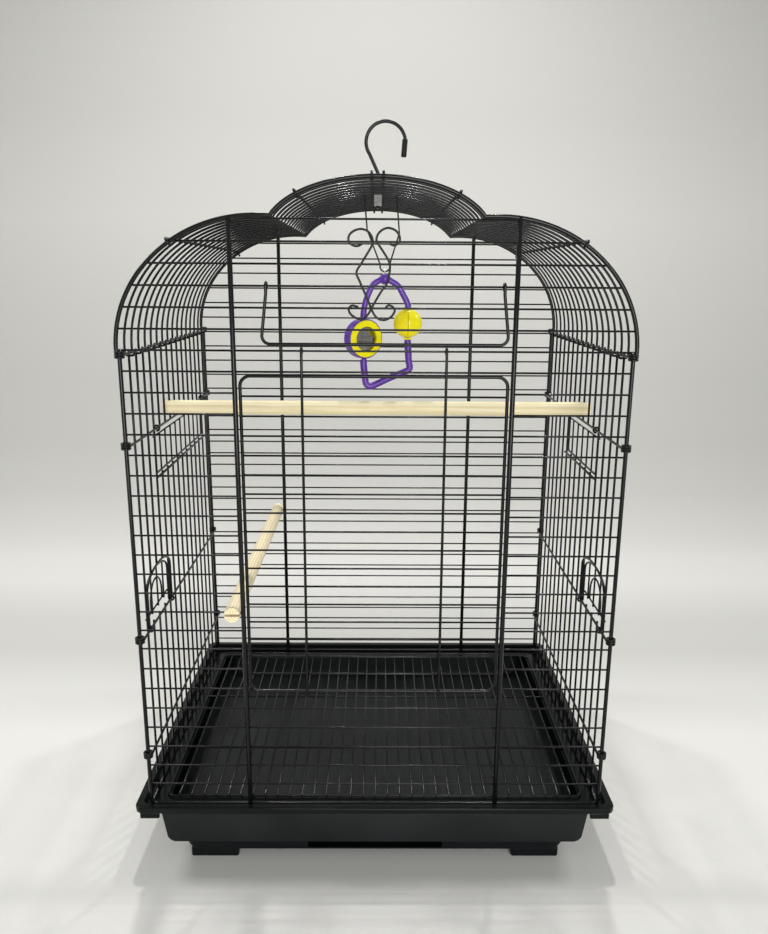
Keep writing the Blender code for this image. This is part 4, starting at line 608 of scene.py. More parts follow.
work = bmesh.new()
rodXs = [way * x for x in domeSet["rodXs"] for way in ways]
addWires(work, [hookedRod(x) for x in rodXs], rodR, rodSides)
outline = archOutline(domeSet["steps"], domeSet["offset"])
hookR = rodR + 2 * gap + wireR
runs, welds = [], []
for index in range(1, sideGaps):
    y = sideY(index) + domeSet["shift"]
    hook = rounded([(rodX - hookR, y, seamZ + rodR), (rodX - hookR, y, seamZ - hookR),
                    (outerX, y, seamZ - hookR), (outerX, y, springZ)], hookR, 6)[:-1]
    runs.append([(-spot.x, y, spot.z) for spot in hook] + [(x, y, z) for x, z in outline] + hook[::-1])
    welds += [Vector((x, y, archZ(x))) + archNormal(x) * domeSet["weldRise"] for x in rodXs]
addWires(work, runs, wireR)
addWelds(work, welds, domeSet["weld"])
domeNodes = [f"dome_wire_{index:02d}" for index in range(1, sideGaps)]
domeNodes += [rod + word for rod in ("crest_rail_", "dome_rod_high_", "dome_rod_low_") for word in ("left", "right")]
makePiece(work, "domeWires", "root", domeNodes)
print("dome made")

# main door, its bail and the scroll over it

door = {
    "half": 0.1160, "topZ": 0.4816, "bottomZ": 0.1818, "corner": 0.009, "bars": 16, "weld": (0.0014, 0.0013, 0.0012),
    "frameR": 0.0015, "uprightR": 0.00125, "uprightX": 0.0623, "tail": 0.004,
}
bailSet = {
    "x": 0.0069, "topHalf": 0.1005, "bottomHalf": 0.1052, "row": 26, "bottomZ": 0.5094,
    "corner": 0.007, "knee": 0.006, "lean": 0.0006, "r": 0.0014,
}
doorTop, doorBottom, uprightR, bailR = door["topZ"], door["bottomZ"], door["uprightR"], bailSet["r"]
uprightY = rowFrontY - rowR - gap - uprightR
doorFrameY = uprightY + sink * (uprightR + door["frameR"])
doorBarY = uprightY + uprightR + gap + rowR
jambs = [bayX + way * door["half"] for way in ways]
uprightXs = [bayX + way * door["uprightX"] for way in ways]


def frontEye(x, z, wire):  # the eye of a wire round a front row, open below
    return arc((x, rowFrontY, z), (0, -1, 0), (0, 0, 1), rowR + gap + wire, eyeSweep, 0, 20)


work = bmesh.new()
corners = [(x, doorFrameY, z) for x, z in zip(jambs + jambs[::-1], (doorBottom, doorBottom, doorTop, doorTop))]
addWires(work, [rounded(corners, door["corner"], 12, closed=True)], door["frameR"], postSides, closed=True)
pitch = (doorTop - doorBottom) / (door["bars"] + 1)
bars, welds = [], []
for z in (doorBottom + index * pitch for index in range(1, door["bars"] + 1)):
    bars.append([(x, doorBarY, z) for x in jambs])
    welds += bars[-1] + [(x, doorBarY - rowR, z) for x in uprightXs]
addWires(work, bars, rowR, rowSides)
addWires(work, [frontEye(x, springZ, uprightR) + [(x, uprightY, doorBottom - door["tail"])] for x in uprightXs],
         uprightR, rodSides)
addWelds(work, welds, door["weld"])
makePiece(work, "mainDoor", "main_door", ["main_door"])

work = bmesh.new()
axisZ = rowZ(bailSet["row"])
lowY = rowFrontY - rowR - 2 * gap - 2 * uprightR - bailR - bailSet["lean"]
topXs, lowXs = ([bailSet["x"] + way * bailSet[key] for way in ways] for key in ("topHalf", "bottomHalf"))
eyes = [frontEye(x, axisZ, bailR) for x in topXs]
low = [(x, lowY, bailSet["bottomZ"]) for x in lowXs]
knee = [(x, rowFrontY - (rowR + gap + bailR), axisZ - bailSet["knee"]) for x in topXs]
loop = rounded([knee[0], *low, knee[1]], bailSet["corner"], 12)
addWires(work, [eyes[0] + loop + eyes[1][::-1]], bailR, postSides)
makePiece(work, "doorBail", "door_bail", ["door_bail"])

scroll = {
    "r": 0.0010, "topZ": 0.6044,  # places along the two hand-bent wires, across and down from the top
    "left": ((-0.0128, 0.0124), (-0.0153, 0.0140), (-0.0187, 0.0142), (-0.0222, 0.0126), (-0.0240, 0.0091),
             (-0.0230, 0.0052), (-0.0194, 0.0022), (-0.0144, 0.0007), (-0.0096, 0.0016), (-0.0062, 0.0043),
             (-0.0044, 0.0077), (-0.0038, 0.0112), (-0.0057, 0.0159), (-0.0128, 0.0273), (-0.0174, 0.0354),
             (-0.0148, 0.0426), (-0.0074, 0.0592), (-0.0038, 0.0678), (-0.0001, 0.0728), (0.0057, 0.0746),
             (0.0116, 0.0720), (0.0148, 0.0670), (0.0129, 0.0634), (0.0093, 0.0624), (0.0072, 0.0642)),
    "right": ((0.0105, 0.0126), (0.0138, 0.0137), (0.0169, 0.0122), (0.0185, 0.0092), (0.0179, 0.0055),
              (0.0151, 0.0020), (0.0112, 0.0002), (0.0075, 0.0), (0.0034, 0.0018), (0.0004, 0.0049),
              (-0.0008, 0.0087), (0.0, 0.0117), (0.0021, 0.0147), (0.0095, 0.0262), (0.0104, 0.0335),
              (0.0082, 0.0442), (0.0034, 0.0509), (-0.0033, 0.0620), (-0.0077, 0.0697), (-0.0132, 0.0742),
              (-0.0213, 0.0707), (-0.0240, 0.0657), (-0.0212, 0.0626), (-0.0162, 0.0636)),
}
work = bmesh.new()
scrollY = rowFrontY - rowR - gap - scroll["r"]
for key, y in (("left", scrollY), ("right", scrollY - 2 * sink * scroll["r"])):
    spots = [(x, y, scroll["topZ"] - down) for x, down in scroll[key]]
    addWires(work, [smoothRun(spots, 6)], scroll["r"])
makePiece(work, "doorScroll", "root", ["door_scroll"])
print("door, bail and scroll made")

# perches

perchSet = {
    "r": 0.0074, "grip": 0.0060, "slotDepth": 0.0095, "chamfer": 0.0008, "slotGap": 0.0003,
    "longWire": 7, "longZ": 0.4308, "shortRow": 10,
}
perchR, grip = perchSet["r"], perchSet["grip"]


def perchPiece(name, start, end, slotTurn, slotR, node, finish):
    start, slotTurn = Vector(start), Vector(slotTurn)
    run = Vector(end) - start
    inward = run.normalized()
    turn = run.to_track_quat("Z", "Y").to_matrix().to_4x4()
    work = newCylinder(perchR, 0, run.length, Matrix.Translation(start) @ turn, 40, perchSet["chamfer"], 3)
    piece = makePiece(work, name, "root", [node], finish)
    spread = slotTurn * 2 * perchR + inward.cross(slotTurn) * (slotR + perchSet["slotGap"])
    slots = []
    for spot, way in ((start, inward), (Vector(end), -inward)):
        ends = [spot - way * perchR - spread, spot + way * perchSet["slotDepth"] + spread]
        slots.append(newBox([min(pair) for pair in zip(*ends)], [max(pair) for pair in zip(*ends)]))
    carve(piece, slots)


longReach, longY, longZ = sideWireX + grip, sideY(perchSet["longWire"]), perchSet["longZ"]
perchPiece("longPerch", (-longReach, longY, longZ), (longReach, longY, longZ), (0, 0, 1), wireR,
           "long_perch", longDowel)
shortX, shortZ = postXs[0] - thickPostR - gap - perchR, rowZ(perchSet["shortRow"])
perchPiece("shortPerch", (shortX, rowFrontY - grip - postR, shortZ), (shortX, rowBackY + grip, shortZ), (1, 0, 0),
           rowR, "short_perch", shortDowel)
print("perches made")

# moulded base, clips, tray and floor grille

base = {
    "rimOut": 0.0138, "rimHeight": 0.0060, "rimRise": 0.0042, "rimSeat": 0.0065, "rimUnder": 0.0010,
    "ledgeIn": 0.0150, "ledgeThick": 0.0030, "corner": 0.009, "minCorner": 0.006, "rimRound": 0.0012, "rimLip": 0.0055,
    "bodyRound": 0.0040, "stepDraft": 0.0010, "bodyTop": 0.2089, "bodyLow": 0.2050, "bodyDepth": 0.1725,
    "wall": 0.0025, "floorZ": 0.0270, "floorThick": 0.0025,
    "stepTop": 0.1903, "stepLow": 0.1840, "stepDepth": 0.1680, "stepTopZ": 0.0215, "stepRound": 0.0012,
    "footHeight": 0.0090, "footLength": 0.0474, "footDepth": 0.0220, "footInset": 0.0004,
    "footRound": 0.0022, "footLap": 0.0020,
    "slotHalf": 0.0668, "slotLow": 0.0113, "slotHigh": 0.0197, "slotDepth": 0.0150,
    "clipX": 0.2193, "clipWidth": 0.0185, "clipHeight": 0.0065, "clipInset": 0.0015, "clipRound": 0.0010,
}
traySet = {
    "fasciaThick": 0.0050, "fasciaCorner": 0.0090, "gap": 0.0005, "sideGap": 0.0022, "wall": 0.0020,
    "topZ": 0.0510, "backY": 0.1600, "corner": 0.0120, "round": 0.0015, "fasciaRound": 0.0007,
}
grilleSet = {
    "r": 0.0010, "overlap": 0.0030, "pitch": 0.0123, "corner": 0.0080, "cross": (0.275, 0.630), "weldR": 0.0009,
}
rimOut, rimLip, wall, floorZ, footHeight = (base[key] for key in ("rimOut", "rimLip", "wall", "floorZ", "footHeight"))
bodyTop, bodyLow, bodyDepth, bodyRound = (base[key] for key in ("bodyTop", "bodyLow", "bodyDepth", "bodyRound"))
stepTop, stepLow, stepDepth, stepTopZ = (base[key] for key in ("stepTop", "stepLow", "stepDepth", "stepTopZ"))
slotHalf, slotLow, slotDepth = (base[key] for key in ("slotHalf", "slotLow", "slotDepth"))
fasciaThick, fasciaCorner = traySet["fasciaThick"], traySet["fasciaCorner"]
rimTopZ = railZ + base["rimRise"]
rimLowZ = rimTopZ - base["rimHeight"]
underZ = ledgeZ - base["ledgeThick"]
fasciaTopZ = underZ - 2 * traySet["gap"]


def cornerShell(sections, segments=8):
    # a rounded rectangle extruded from section to section: (halfX, lowY, highY, corner, z)
    work = bmesh.new()
    halfX, lowY, highY, corner, z = sections[0]
    bmesh.ops.create_grid(work, x_segments=1, y_segments=1, size=1.0)
    bmesh.ops.transform(work, verts=work.verts[:], matrix=Matrix.Translation((0, (lowY + highY) / 2, z))
                        @ Matrix.Diagonal((halfX, (highY - lowY) / 2, 1, 1)))
    bmesh.ops.bevel(work, geom=work.verts[:], offset=corner, offset_type="OFFSET", segments=segments,
                    affect="VERTICES", profile=0.5, material=-1)
    edges = [edge for edge in work.edges if edge.is_boundary]
    for before, after in zip(sections, sections[1:]):
        ring, edges = extrudeRing(work, edges)
        middle = (before[1] + before[2]) / 2
        corners = {}
        for vert in ring:
            corners.setdefault((vert.co.x > 0, vert.co.y > middle), []).append(vert)
        for (right, far), verts in corners.items():
            old, new = [Vector(((1 if right else -1) * (s[0] - s[3]), s[2] - s[3] if far else s[1] + s[3], s[4]))
                        for s in (before, after)]
            size = after[3] / before[3]
            bmesh.ops.transform(work, verts=verts, matrix=Matrix.Translation(new)
                                @ Matrix.Diagonal((size, size, 1, 1)) @ Matrix.Translation(-old))
    bmesh.ops.edgeloop_fill(work, edges=edges)
    faceOut(work)
    return work


def section(halfX, halfY, z):
    corner = max(base["corner"] - (halfWidth + rimOut - halfX), base["minCorner"])
    return (halfX, -halfY, halfY, corner, z)


def quarter(halfX, halfY, z, radius, startTurn, endTurn, steps):
    # a quarter round where the section grows or shrinks
    turns = [math.radians(startTurn + (endTurn - startTurn) * step / steps) for step in range(steps + 1)]
    return [section(halfX - radius + radius * math.cos(turn), halfY - radius + radius * math.cos(turn),
                    z + radius * math.sin(turn)) for turn in turns]


rimX, rimY = halfWidth + rimOut, halfDepth + rimOut
seatX, seatY = halfWidth + base["rimSeat"], halfDepth + base["rimSeat"]
ledgeX, ledgeY = halfWidth - base["ledgeIn"], halfDepth - base["ledgeIn"]
stepLowY = stepDepth - base["stepDraft"]
body = makePiece(cornerShell([
    section(stepTop - wall, stepDepth - wall, floorZ - base["floorThick"]),
    section(stepLow - wall, stepLowY - wall, footHeight),
    *quarter(stepLow, stepLowY, footHeight + base["stepRound"], base["stepRound"], -90, 0, 3),
    section(stepTop, stepDepth, stepTopZ),
    *quarter(bodyLow, bodyDepth, stepTopZ + bodyRound, bodyRound, -90, 0, 5),
    section(bodyTop, bodyDepth, underZ),
    section(rimX - rimLip, rimY - rimLip, underZ + gap),
    section(rimX - rimLip, rimY - rimLip, rimLowZ),
    *quarter(rimX, rimY, rimLowZ + base["rimUnder"], base["rimUnder"], -90, 0, 3),
    *quarter(rimX, rimY, rimTopZ - base["rimRound"], base["rimRound"], 0, 90, 5),
    section(seatX + gap, seatY + gap, rimTopZ),
    section(seatX, seatY, ledgeZ + gap),
    section(ledgeX, ledgeY, ledgeZ),
    section(ledgeX, ledgeY, underZ),
    section(bodyTop - wall, bodyDepth - wall, underZ - gap),
    section(bodyLow - wall, bodyDepth - wall, floorZ),
]), "baseBody", "root", ["base_body"], mouldedBlack)
wide, far = 2 * halfWidth, 4 * halfDepth
carve(body, [
    newBox((-wide, -far, stepTopZ - gap), (wide, -bodyDepth + fasciaThick + traySet["gap"], fasciaTopZ + gap)),
    newBox((-slotHalf, -far, slotLow), (slotHalf, -stepDepth + slotDepth, base["slotHigh"])),
])


def boxAcross(first, second, bevel, segments):
    low, high = ([pick(pair) for pair in zip(first, second)] for pick in (min, max))
    return newBox(low, high, bevel, segments)


feet = []
for side in ways:
    for way in ways:
        outer = (side * (stepLow - base["footInset"]), way * (stepLowY - base["footInset"]), 0)
        inner = (outer[0] - side * base["footLength"], outer[1] - way * base["footDepth"], footHeight + base["footLap"])
        feet.append(boxAcross(outer, inner, base["footRound"], 4))
# painted shade: a plate of the base's black joined in behind the slot so that it shows dark, standing in for the shade
# under the base
slotShadePlate = newBox((-slotHalf - wall, -stepLowY + wall / 2, footHeight + gap),
                   (slotHalf + wall, -stepDepth + slotDepth + 4 * wall, slotLow - gap))
carve(body, feet + [slotShadePlate], "UNION")

for way, depthWord in ((-1, "front"), (1, "back")):
    for side, word in ((-1, "left"), (1, "right")):
        nearX, farX = (side * (base["clipX"] + half * base["clipWidth"] / 2) for half in ways)
        clip = boxAcross((nearX, way * (rimY - rimLip + gap), rimLowZ - base["clipHeight"]),
                         (farX, way * (rimY - base["clipInset"]), rimLowZ - gap), base["clipRound"], 4)
        makePiece(clip, "clip" + depthWord.title() + word.title(), "root",
                  ["base_clip_" + depthWord + "_" + word], mouldedBlack)

trayHalf = bodyLow - wall - traySet["sideGap"]
trayFront = -bodyDepth + fasciaThick / 2
trayLow = floorZ + gap
trayWall, trayTop, bend, trayBack = (traySet[key] for key in ("wall", "topZ", "round", "backY"))
outside = [(trayHalf - inset, trayFront + inset, trayBack - inset, traySet["corner"], z) for inset, z in (
    (bend, trayLow), (0.3 * bend, trayLow + 0.3 * bend), (0, trayLow + bend), (0, trayTop))]
inside = [(trayHalf - trayWall - inset, trayFront + fasciaThick + inset, trayBack - trayWall - inset,
           traySet["corner"] - trayWall, z) for inset, z in (
    (0, trayTop + gap), (0.2 * bend, trayLow + trayWall + 2 * bend), (2 * bend, trayLow + trayWall))]
trayPiece = makePiece(cornerShell(outside + inside), "pullOutTray", "tray", ["pull_out_tray"], trayBlack)
outline = []
for side, start, end in ((1, 0, -90), (-1, 270, 180)):
    outline += arc((side * (bodyLow - fasciaCorner), -bodyDepth, stepTopZ + 2 * gap + fasciaCorner),
                   (1, 0, 0), (0, 0, 1), fasciaCorner, start, end, 10)
outline += [Vector((way * bodyTop, -bodyDepth, fasciaTopZ)) for way in ways]
fascia = bmesh.new()
face = fascia.faces.new([fascia.verts.new(spot) for spot in outline])
grown = bmesh.ops.extrude_face_region(fascia, geom=[face])["geom"]
bmesh.ops.translate(fascia, verts=vertsOf(grown), vec=(0, fasciaThick, 0))
faceOut(fascia)
frontEdges = [edge for edge in fascia.edges if all(vert.co.y < -bodyDepth + 1e-6 for vert in edge.verts)]
roundEdges(fascia, frontEdges, traySet["fasciaRound"], 3)
carve(trayPiece, [fascia], "UNION")

work = bmesh.new()
grilleR = grilleSet["r"]
halfX, halfY = ledgeX + grilleSet["overlap"], ledgeY + grilleSet["overlap"]
crossZ = ledgeZ + gap + grilleR
topZ = crossZ + 2 * grilleR + gap
corners = [(x * halfX, y * halfY, topZ - 2 * sink * grilleR) for x, y in ((-1, -1), (1, -1), (1, 1), (-1, 1))]
addWires(work, [rounded(corners, grilleSet["corner"], closed=True)], grilleR, closed=True)
count = round(2 * halfX / grilleSet["pitch"])
longXs = [-halfX + 2 * halfX * index / count for index in range(1, count)]
crossYs = [-halfY + 2 * halfY * share for share in grilleSet["cross"]]
runs = [[(x, -halfY, topZ), (x, halfY, topZ)] for x in longXs]
runs += [[(-halfX, y, crossZ), (halfX, y, crossZ)] for y in crossYs]
addWires(work, runs, grilleR)
addWelds(work, [(x, y, (topZ + crossZ) / 2) for x in longXs for y in crossYs], [grilleSet["weldR"]] * 3)
makePiece(work, "floorGrille", "root", ["floor_grille"])
print("base, clips, tray and grille made")

# ceiling hook

hookSet = {
    "r": 0.00175, "y": -0.0078, "topZ": 0.7147, "bend": 0.0195, "centreX": 0.0075, "start": 215.0, "end": 10.0,
    "stem": 0.0060, "stemEnd": 0.0020, "stemLow": 0.6335, "lean": -0.0012,
    "sleeveR": 0.0027, "sleeveLength": 0.0160, "sleeveStart": 0.0004, "sleeveEnd": 0.0012, "sleeveRound": 0.0006,
    "strapHalf": 0.0285, "strapWidth": 0.0120, "strapThick": 0.0012, "strapRound": 0.0030,
    "blockHalf": 0.0056, "blockHeight": 0.0085, "blockRound": 0.0009,
    "nutR": 0.0044, "nutHeight": 0.0120, "nutRound": 0.0004, "boreLow": 0.6, "boreHigh": 0.7,
    "boreLead": 0.001, "hookSides": 16,
}
hookR, hookY, blockHalf, blockHeight = (hookSet[key] for key in ("r", "y", "blockHalf", "blockHeight"))
strapThick, sleeveLength = hookSet["strapThick"], hookSet["sleeveLength"]
railTop = archZ(crestX) + postR + gap + 2 * rodR
strapZ = railTop + gap
blockZ = strapZ + strapThick + gap
hookAxis = Matrix.Translation((0, hookY, 0))
strap = newBox((-hookSet["strapHalf"], hookY - hookSet["strapWidth"] / 2, strapZ),
               (hookSet["strapHalf"], hookY + hookSet["strapWidth"] / 2, strapZ + strapThick))
uprightEdges = [edge for edge in strap.edges if abs(edge.verts[0].co.z - edge.verts[1].co.z) > gap]
roundEdges(strap, uprightEdges, hookSet["strapRound"], 6)
strapPiece = makePiece(strap, "hookStrap", "root", ["hook_strap"])
block = newBox((-blockHalf, hookY - blockHalf, blockZ), (blockHalf, hookY + blockHalf, blockZ + blockHeight),
               hookSet["blockRound"], 3)
blockPiece = makePiece(block, "hookBlock", "root", ["hook_block"], paleZinc)
nutTop = railTop - 2 * rodR - gap
nut = newCylinder(hookSet["nutR"], nutTop - hookSet["nutHeight"], nutTop, hookAxis, 6, hookSet["nutRound"], 2)
nutPiece = makePiece(nut, "hookNut", "hook", ["hook_nut"], plated)
for piece in (strapPiece, blockPiece, nutPiece):
    carve(piece, [newCylinder(hookR + gap, hookSet["boreLow"], hookSet["boreHigh"], hookAxis, 24)])

bendRun = arc((hookSet["centreX"], hookY, hookSet["topZ"] - hookSet["bend"]), (1, 0, 0), (0, 0, 1), hookSet["bend"],
              hookSet["start"], hookSet["end"], 48)
stemTop = blockZ + blockHeight + hookSet["stem"]
stem = [(0, hookY, z) for z in (hookSet["stemLow"], stemTop - hookSet["stemEnd"], stemTop)]
joined = smoothRun([*stem[1:], bendRun[0], bendRun[4]], 4)[4:8]
tip = bendRun[-1] + Vector((hookSet["lean"], 0, -sleeveLength))
work = bmesh.new()
addWires(work, [stem[:2] + joined + bendRun + [tip]], hookR, hookSet["hookSides"])
makePiece(work, "ceilingHook", "hook", ["ceiling_hook"])
sleevePlace = (Matrix.Translation(bendRun[-1])
               @ (tip - bendRun[-1]).to_track_quat("Z", "Y").to_matrix().to_4x4())
sleeve = newCylinder(hookSet["sleeveR"], hookSet["sleeveStart"], sleeveLength + hookSet["sleeveEnd"], sleevePlace,
                     24, hookSet["sleeveRound"], 3)
sleevePiece = makePiece(sleeve, "hookTipSleeve", "hook", ["hook_tip_sleeve"], sleeveBlack)
carve(sleevePiece, [newCylinder(hookR + gap, -hookSet["boreLead"], sleeveLength + gap, sleevePlace, 20)])
print("ceiling hook made")

# hanging toy

toy = {
    "wire": 8, "leftX": -0.0139, "rightX": 0.0191, "hangerR": 0.0008, "loopX": 0.0075, "loopR": 0.0050,
    "knee": 0.0030, "kneeZ": 0.6120, "topZ": 0.5633, "beadR": 0.0049, "beadSwell": 0.0010, "armR": 0.0032,
    "barR": 0.0036, "axleR": 0.0015, "eyeR": 0.0026, "eyeWireR": 0.0007, "eyeDrop": 0.0009,
    "ballX": 0.0319, "ballZ": 0.5180, "ballR": 0.0151, "seamTurn": 1.0, "collarR": 0.0042, "collarHeight": 0.0016,
    "drumX": -0.0150, "drumZ": 0.5017, "drumR": 0.0208, "drumThick": 0.0120, "drumTurn": 34.0, "drumRound": 0.0015,
    "recessR": 0.0196, "recess": 0.0032, "mirrorR": 0.0126, "mirrorThick": 0.0020, "ringThick": 0.0038,
    "collarRound": 0.0004, "ringRound": 0.0010, "glassRound": 0.0003,
}
hangerR, axleR, eyeR, knee, kneeZ = (toy[key] for key in ("hangerR", "axleR", "eyeR", "knee", "kneeZ"))
loopX, loopR, topZ, bead, arm, bar = (toy[key] for key in ("loopX", "loopR", "topZ", "beadR", "armR", "barR"))
ballX, ballZ, ballR, collarHeight = (toy[key] for key in ("ballX", "ballZ", "ballR", "collarHeight"))
drumX, drumZ, drumR, recessR, mirrorR = (toy[key] for key in ("drumX", "drumZ", "drumR", "recessR", "mirrorR"))
wireY = sideY(toy["wire"]) + domeSet["shift"]
toyY = wireY - (wireR + gap + hangerR)
eyeZ = topZ + bead + eyeR - toy["eyeDrop"]
loopZ = eyeZ + eyeR - toy["eyeWireR"] - gap - hangerR + loopR
eyes = [arc((x, wireY, archZ(x) + domeSet["offset"]), (0, -1, 0), (0, 0, 1), wireR + gap + hangerR, eyeSweep, 0, 16)
        for x in (toy["leftX"], toy["rightX"])]
loop = arc((loopX, toyY, loopZ), (1, 0, 0), (0, 0, 1), loopR, 160, 380, 24)
kneeLeft, kneeRight = [(toy["leftX"] + knee, toyY, kneeZ)], [(toy["rightX"] + knee, toyY, kneeZ - knee)]
work = bmesh.new()
addWires(work, [eyes[0] + kneeLeft + loop + kneeRight + eyes[1][::-1]], hangerR)
makePiece(work, "toyHanger", "toy", ["toy_hanger"])

ballTop, ballLow = ballZ + ballR, ballZ - ballR - collarHeight
drumTop, drumLow = drumZ + drumR, drumZ - drumR
stations = [  # x, z and radius round the loop of plastic
    (loopX, topZ, bead), (loopX + 0.0027, topZ - 0.0003, bead * 0.85), (loopX + 0.0050, topZ - 0.0013, arm),
    (loopX + 0.0140, topZ - 0.0072, arm), (ballX - 0.0047, ballZ + 0.0287, arm),
    (ballX - 0.0004, ballTop + 0.0050, arm), (ballX, ballTop + 0.0010, arm), (ballX, ballTop + 0.0004, axleR),
    (ballX, ballZ, axleR), (ballX, ballLow - 0.0010, axleR), (ballX, ballLow - 0.0016, bar),
    (ballX + 0.0016, drumZ - 0.0237, bar), (ballX + 0.0026, drumZ - 0.0290, bar),
    (ballX + 0.0003, drumZ - 0.0335, bar), (ballX - 0.0180, drumZ - 0.0412, bar),
    (drumX + 0.0100, drumZ - 0.0500, bar), (drumX + 0.0040, drumZ - 0.0490, bar),
    (drumX + 0.0020, drumZ - 0.0430, bar), (drumX, drumLow - 0.0014, bar), (drumX, drumLow - 0.0008, axleR),
    (drumX, drumZ, axleR), (drumX, drumTop + 0.0008, axleR), (drumX, drumTop + 0.0014, arm),
    (drumX + 0.0012, drumZ + 0.0330, arm), (drumX + 0.0050, drumZ + 0.0454, arm),
    (loopX - 0.0120, topZ - 0.0058, arm), (loopX - 0.0050, topZ - 0.0013, arm),
    (loopX - 0.0027, topZ - 0.0003, bead * 0.85),
]
path = smoothRun(stations, 4, closed=True)
work = bmesh.new()
addWires(work, [[(x, toyY, z) for x, z, width in path]], bar, 18, closed=True, widths=[spot.z for spot in path])
made = bmesh.ops.create_uvsphere(work, u_segments=24, v_segments=16, radius=bead + toy["beadSwell"])
bmesh.ops.translate(work, verts=made["verts"], vec=(loopX, toyY, topZ))
makePiece(work, "toyFrame", "toy", ["toy_frame"], purple)

work = bmesh.new()
staple = arc((loopX, toyY, eyeZ), (0, 1, 0), (0, 0, 1), eyeR, -45, 225, 24)
addWires(work, [staple], toy["eyeWireR"])
makePiece(work, "toyEye", "toy", ["toy_eye"], plated)

bore = axleR + gap
boreTurn = math.asin(bore / ballR)
openTurn = math.radians(toy["seamTurn"])
for word, turn, slot, finish in (("Left", 180, "amber", amber), ("Right", 0, "yellow", yellow)):
    work = bmesh.new()
    profile = [Vector((ballR * math.sin(angle), 0, ballR * math.cos(angle))) for angle in
               (boreTurn + (math.pi - 2 * boreTurn) * step / 28 for step in range(29))]
    face = work.faces.new([work.verts.new(spot) for spot in profile])
    bmesh.ops.rotate(work, verts=work.verts[:], matrix=Matrix.Rotation(openTurn, 3, "Z"))
    bmesh.ops.spin(work, geom=[face] + list(face.edges) + list(face.verts), axis=(0, 0, 1),
                   angle=math.pi - 2 * openTurn, steps=28)
    faceOut(work)
    bmesh.ops.rotate(work, verts=work.verts[:], matrix=Matrix.Rotation(math.radians(turn - 90), 3, "Z"))
    bmesh.ops.translate(work, verts=work.verts[:], vec=(ballX, toyY, ballZ))
    makePiece(work, "toyBall" + word, "toy_ball", ["toy_ball_" + word.lower()], finish)
ballPlace = Matrix.Translation((ballX, toyY, 0))
collarTop = ballZ - ballR * math.cos(boreTurn) - gap
collar = newCylinder(toy["collarR"], collarTop - collarHeight, collarTop, ballPlace, 28, toy["collarRound"])
collarPiece = makePiece(collar, "toyBallCollar", "toy_ball", ["toy_ball_collar"], amber)
carve(collarPiece, [newCylinder(bore, collarTop - ballR, collarTop + ballR, ballPlace, 20)])

drumPlace = (Matrix.Translation((drumX, toyY, drumZ)) @ Matrix.Rotation(math.radians(toy["drumTurn"]), 4, "Z")
             @ Matrix.Rotation(math.radians(90), 4, "X"))
half = toy["drumThick"] / 2
case = newCylinder(drumR, -half, half, drumPlace, 64, toy["drumRound"], 5)
casePiece = makePiece(case, "toyMirrorCase", "toy_mirror", ["toy_mirror_case"], purple)
carve(casePiece, [
    newCylinder(recessR, half - toy["recess"], 2 * half, drumPlace, 56),
    newCylinder(bore, drumZ - 2 * drumR, drumZ + 2 * drumR, Matrix.Translation((drumX, toyY, 0)), 20),
])
seat = half - toy["recess"] + gap
ring = newCylinder(recessR - gap, seat, seat + toy["ringThick"], drumPlace, 56, toy["ringRound"], 4)
ringPiece = makePiece(ring, "toyMirrorRing", "toy_mirror", ["toy_mirror_ring"], yellow)
carve(ringPiece, [newCylinder(mirrorR + gap, seat - half, seat + 2 * half, drumPlace, 48)])
glass = newCylinder(mirrorR, seat, seat + toy["mirrorThick"], drumPlace, 48, toy["glassRound"])
makePiece(glass, "toyMirrorGlass", "toy_mirror", ["toy_mirror_glass"], mirrorGlass)
print("toy made")

# floor, backdrop, lights and camera

stageSet = {
    "half": 3.0, "frontY": -2.4, "backY": 1.3, "bend": 0.5, "height": 2.6, "steps": 14,
    "roughness": 0.85, "specular": 0.1, "tint": (1.0, 0.99, 0.945), "toneSpan": (-0.5, 2.5),
    # tones: paper levels with painted light and shade, in bands along the floor and up the sweep
    "tones": ((0.0, 0.85), (0.12, 0.80), (0.185, 0.78), (0.215, 0.69), (0.26, 0.57), (0.30, 0.58), (0.355, 0.69),
              (0.40, 0.69), (0.46, 0.62), (0.523, 0.545), (0.60, 0.51), (0.687, 0.525), (0.768, 0.58),
              (0.837, 0.575), (0.923, 0.50), (1.0, 0.48)),
    # painted light: centre, reach and gain of a brighter pool painted on the backdrop
    "paintedLightCentre": (0.0, 1.3, 0.85), "paintedLightSpread": (0.3, 1.1), "paintedLightGain": 1.11,
}
stage, tree, shader = newFinish("stagePaperWithPaintedLight")
coords = newNode(tree, "TexCoord").outputs["Object"]
split = newNode(tree, "SeparateXYZ", {"Vector": coords}).outputs
travel = newNode(tree, "Math", {0: split["Y"], 1: split["Z"]})  # across the floor and on up the sweep
low, high = stageSet["toneSpan"]
depth = newNode(tree, "MapRange", {"Value": travel.outputs["Value"], "From Min": low, "From Max": high})
# painted light and shade: the ramp raises and lowers the paper's level in bands along the floor and up the sweep, where
# the lamps light the stage and the cage shades it; the tint is the paper's own
paperWithPaintedShade = rampOf(tree, depth.outputs["Result"],
              [(place, tuple(level * share for share in stageSet["tint"])) for place, level in stageSet["tones"]])
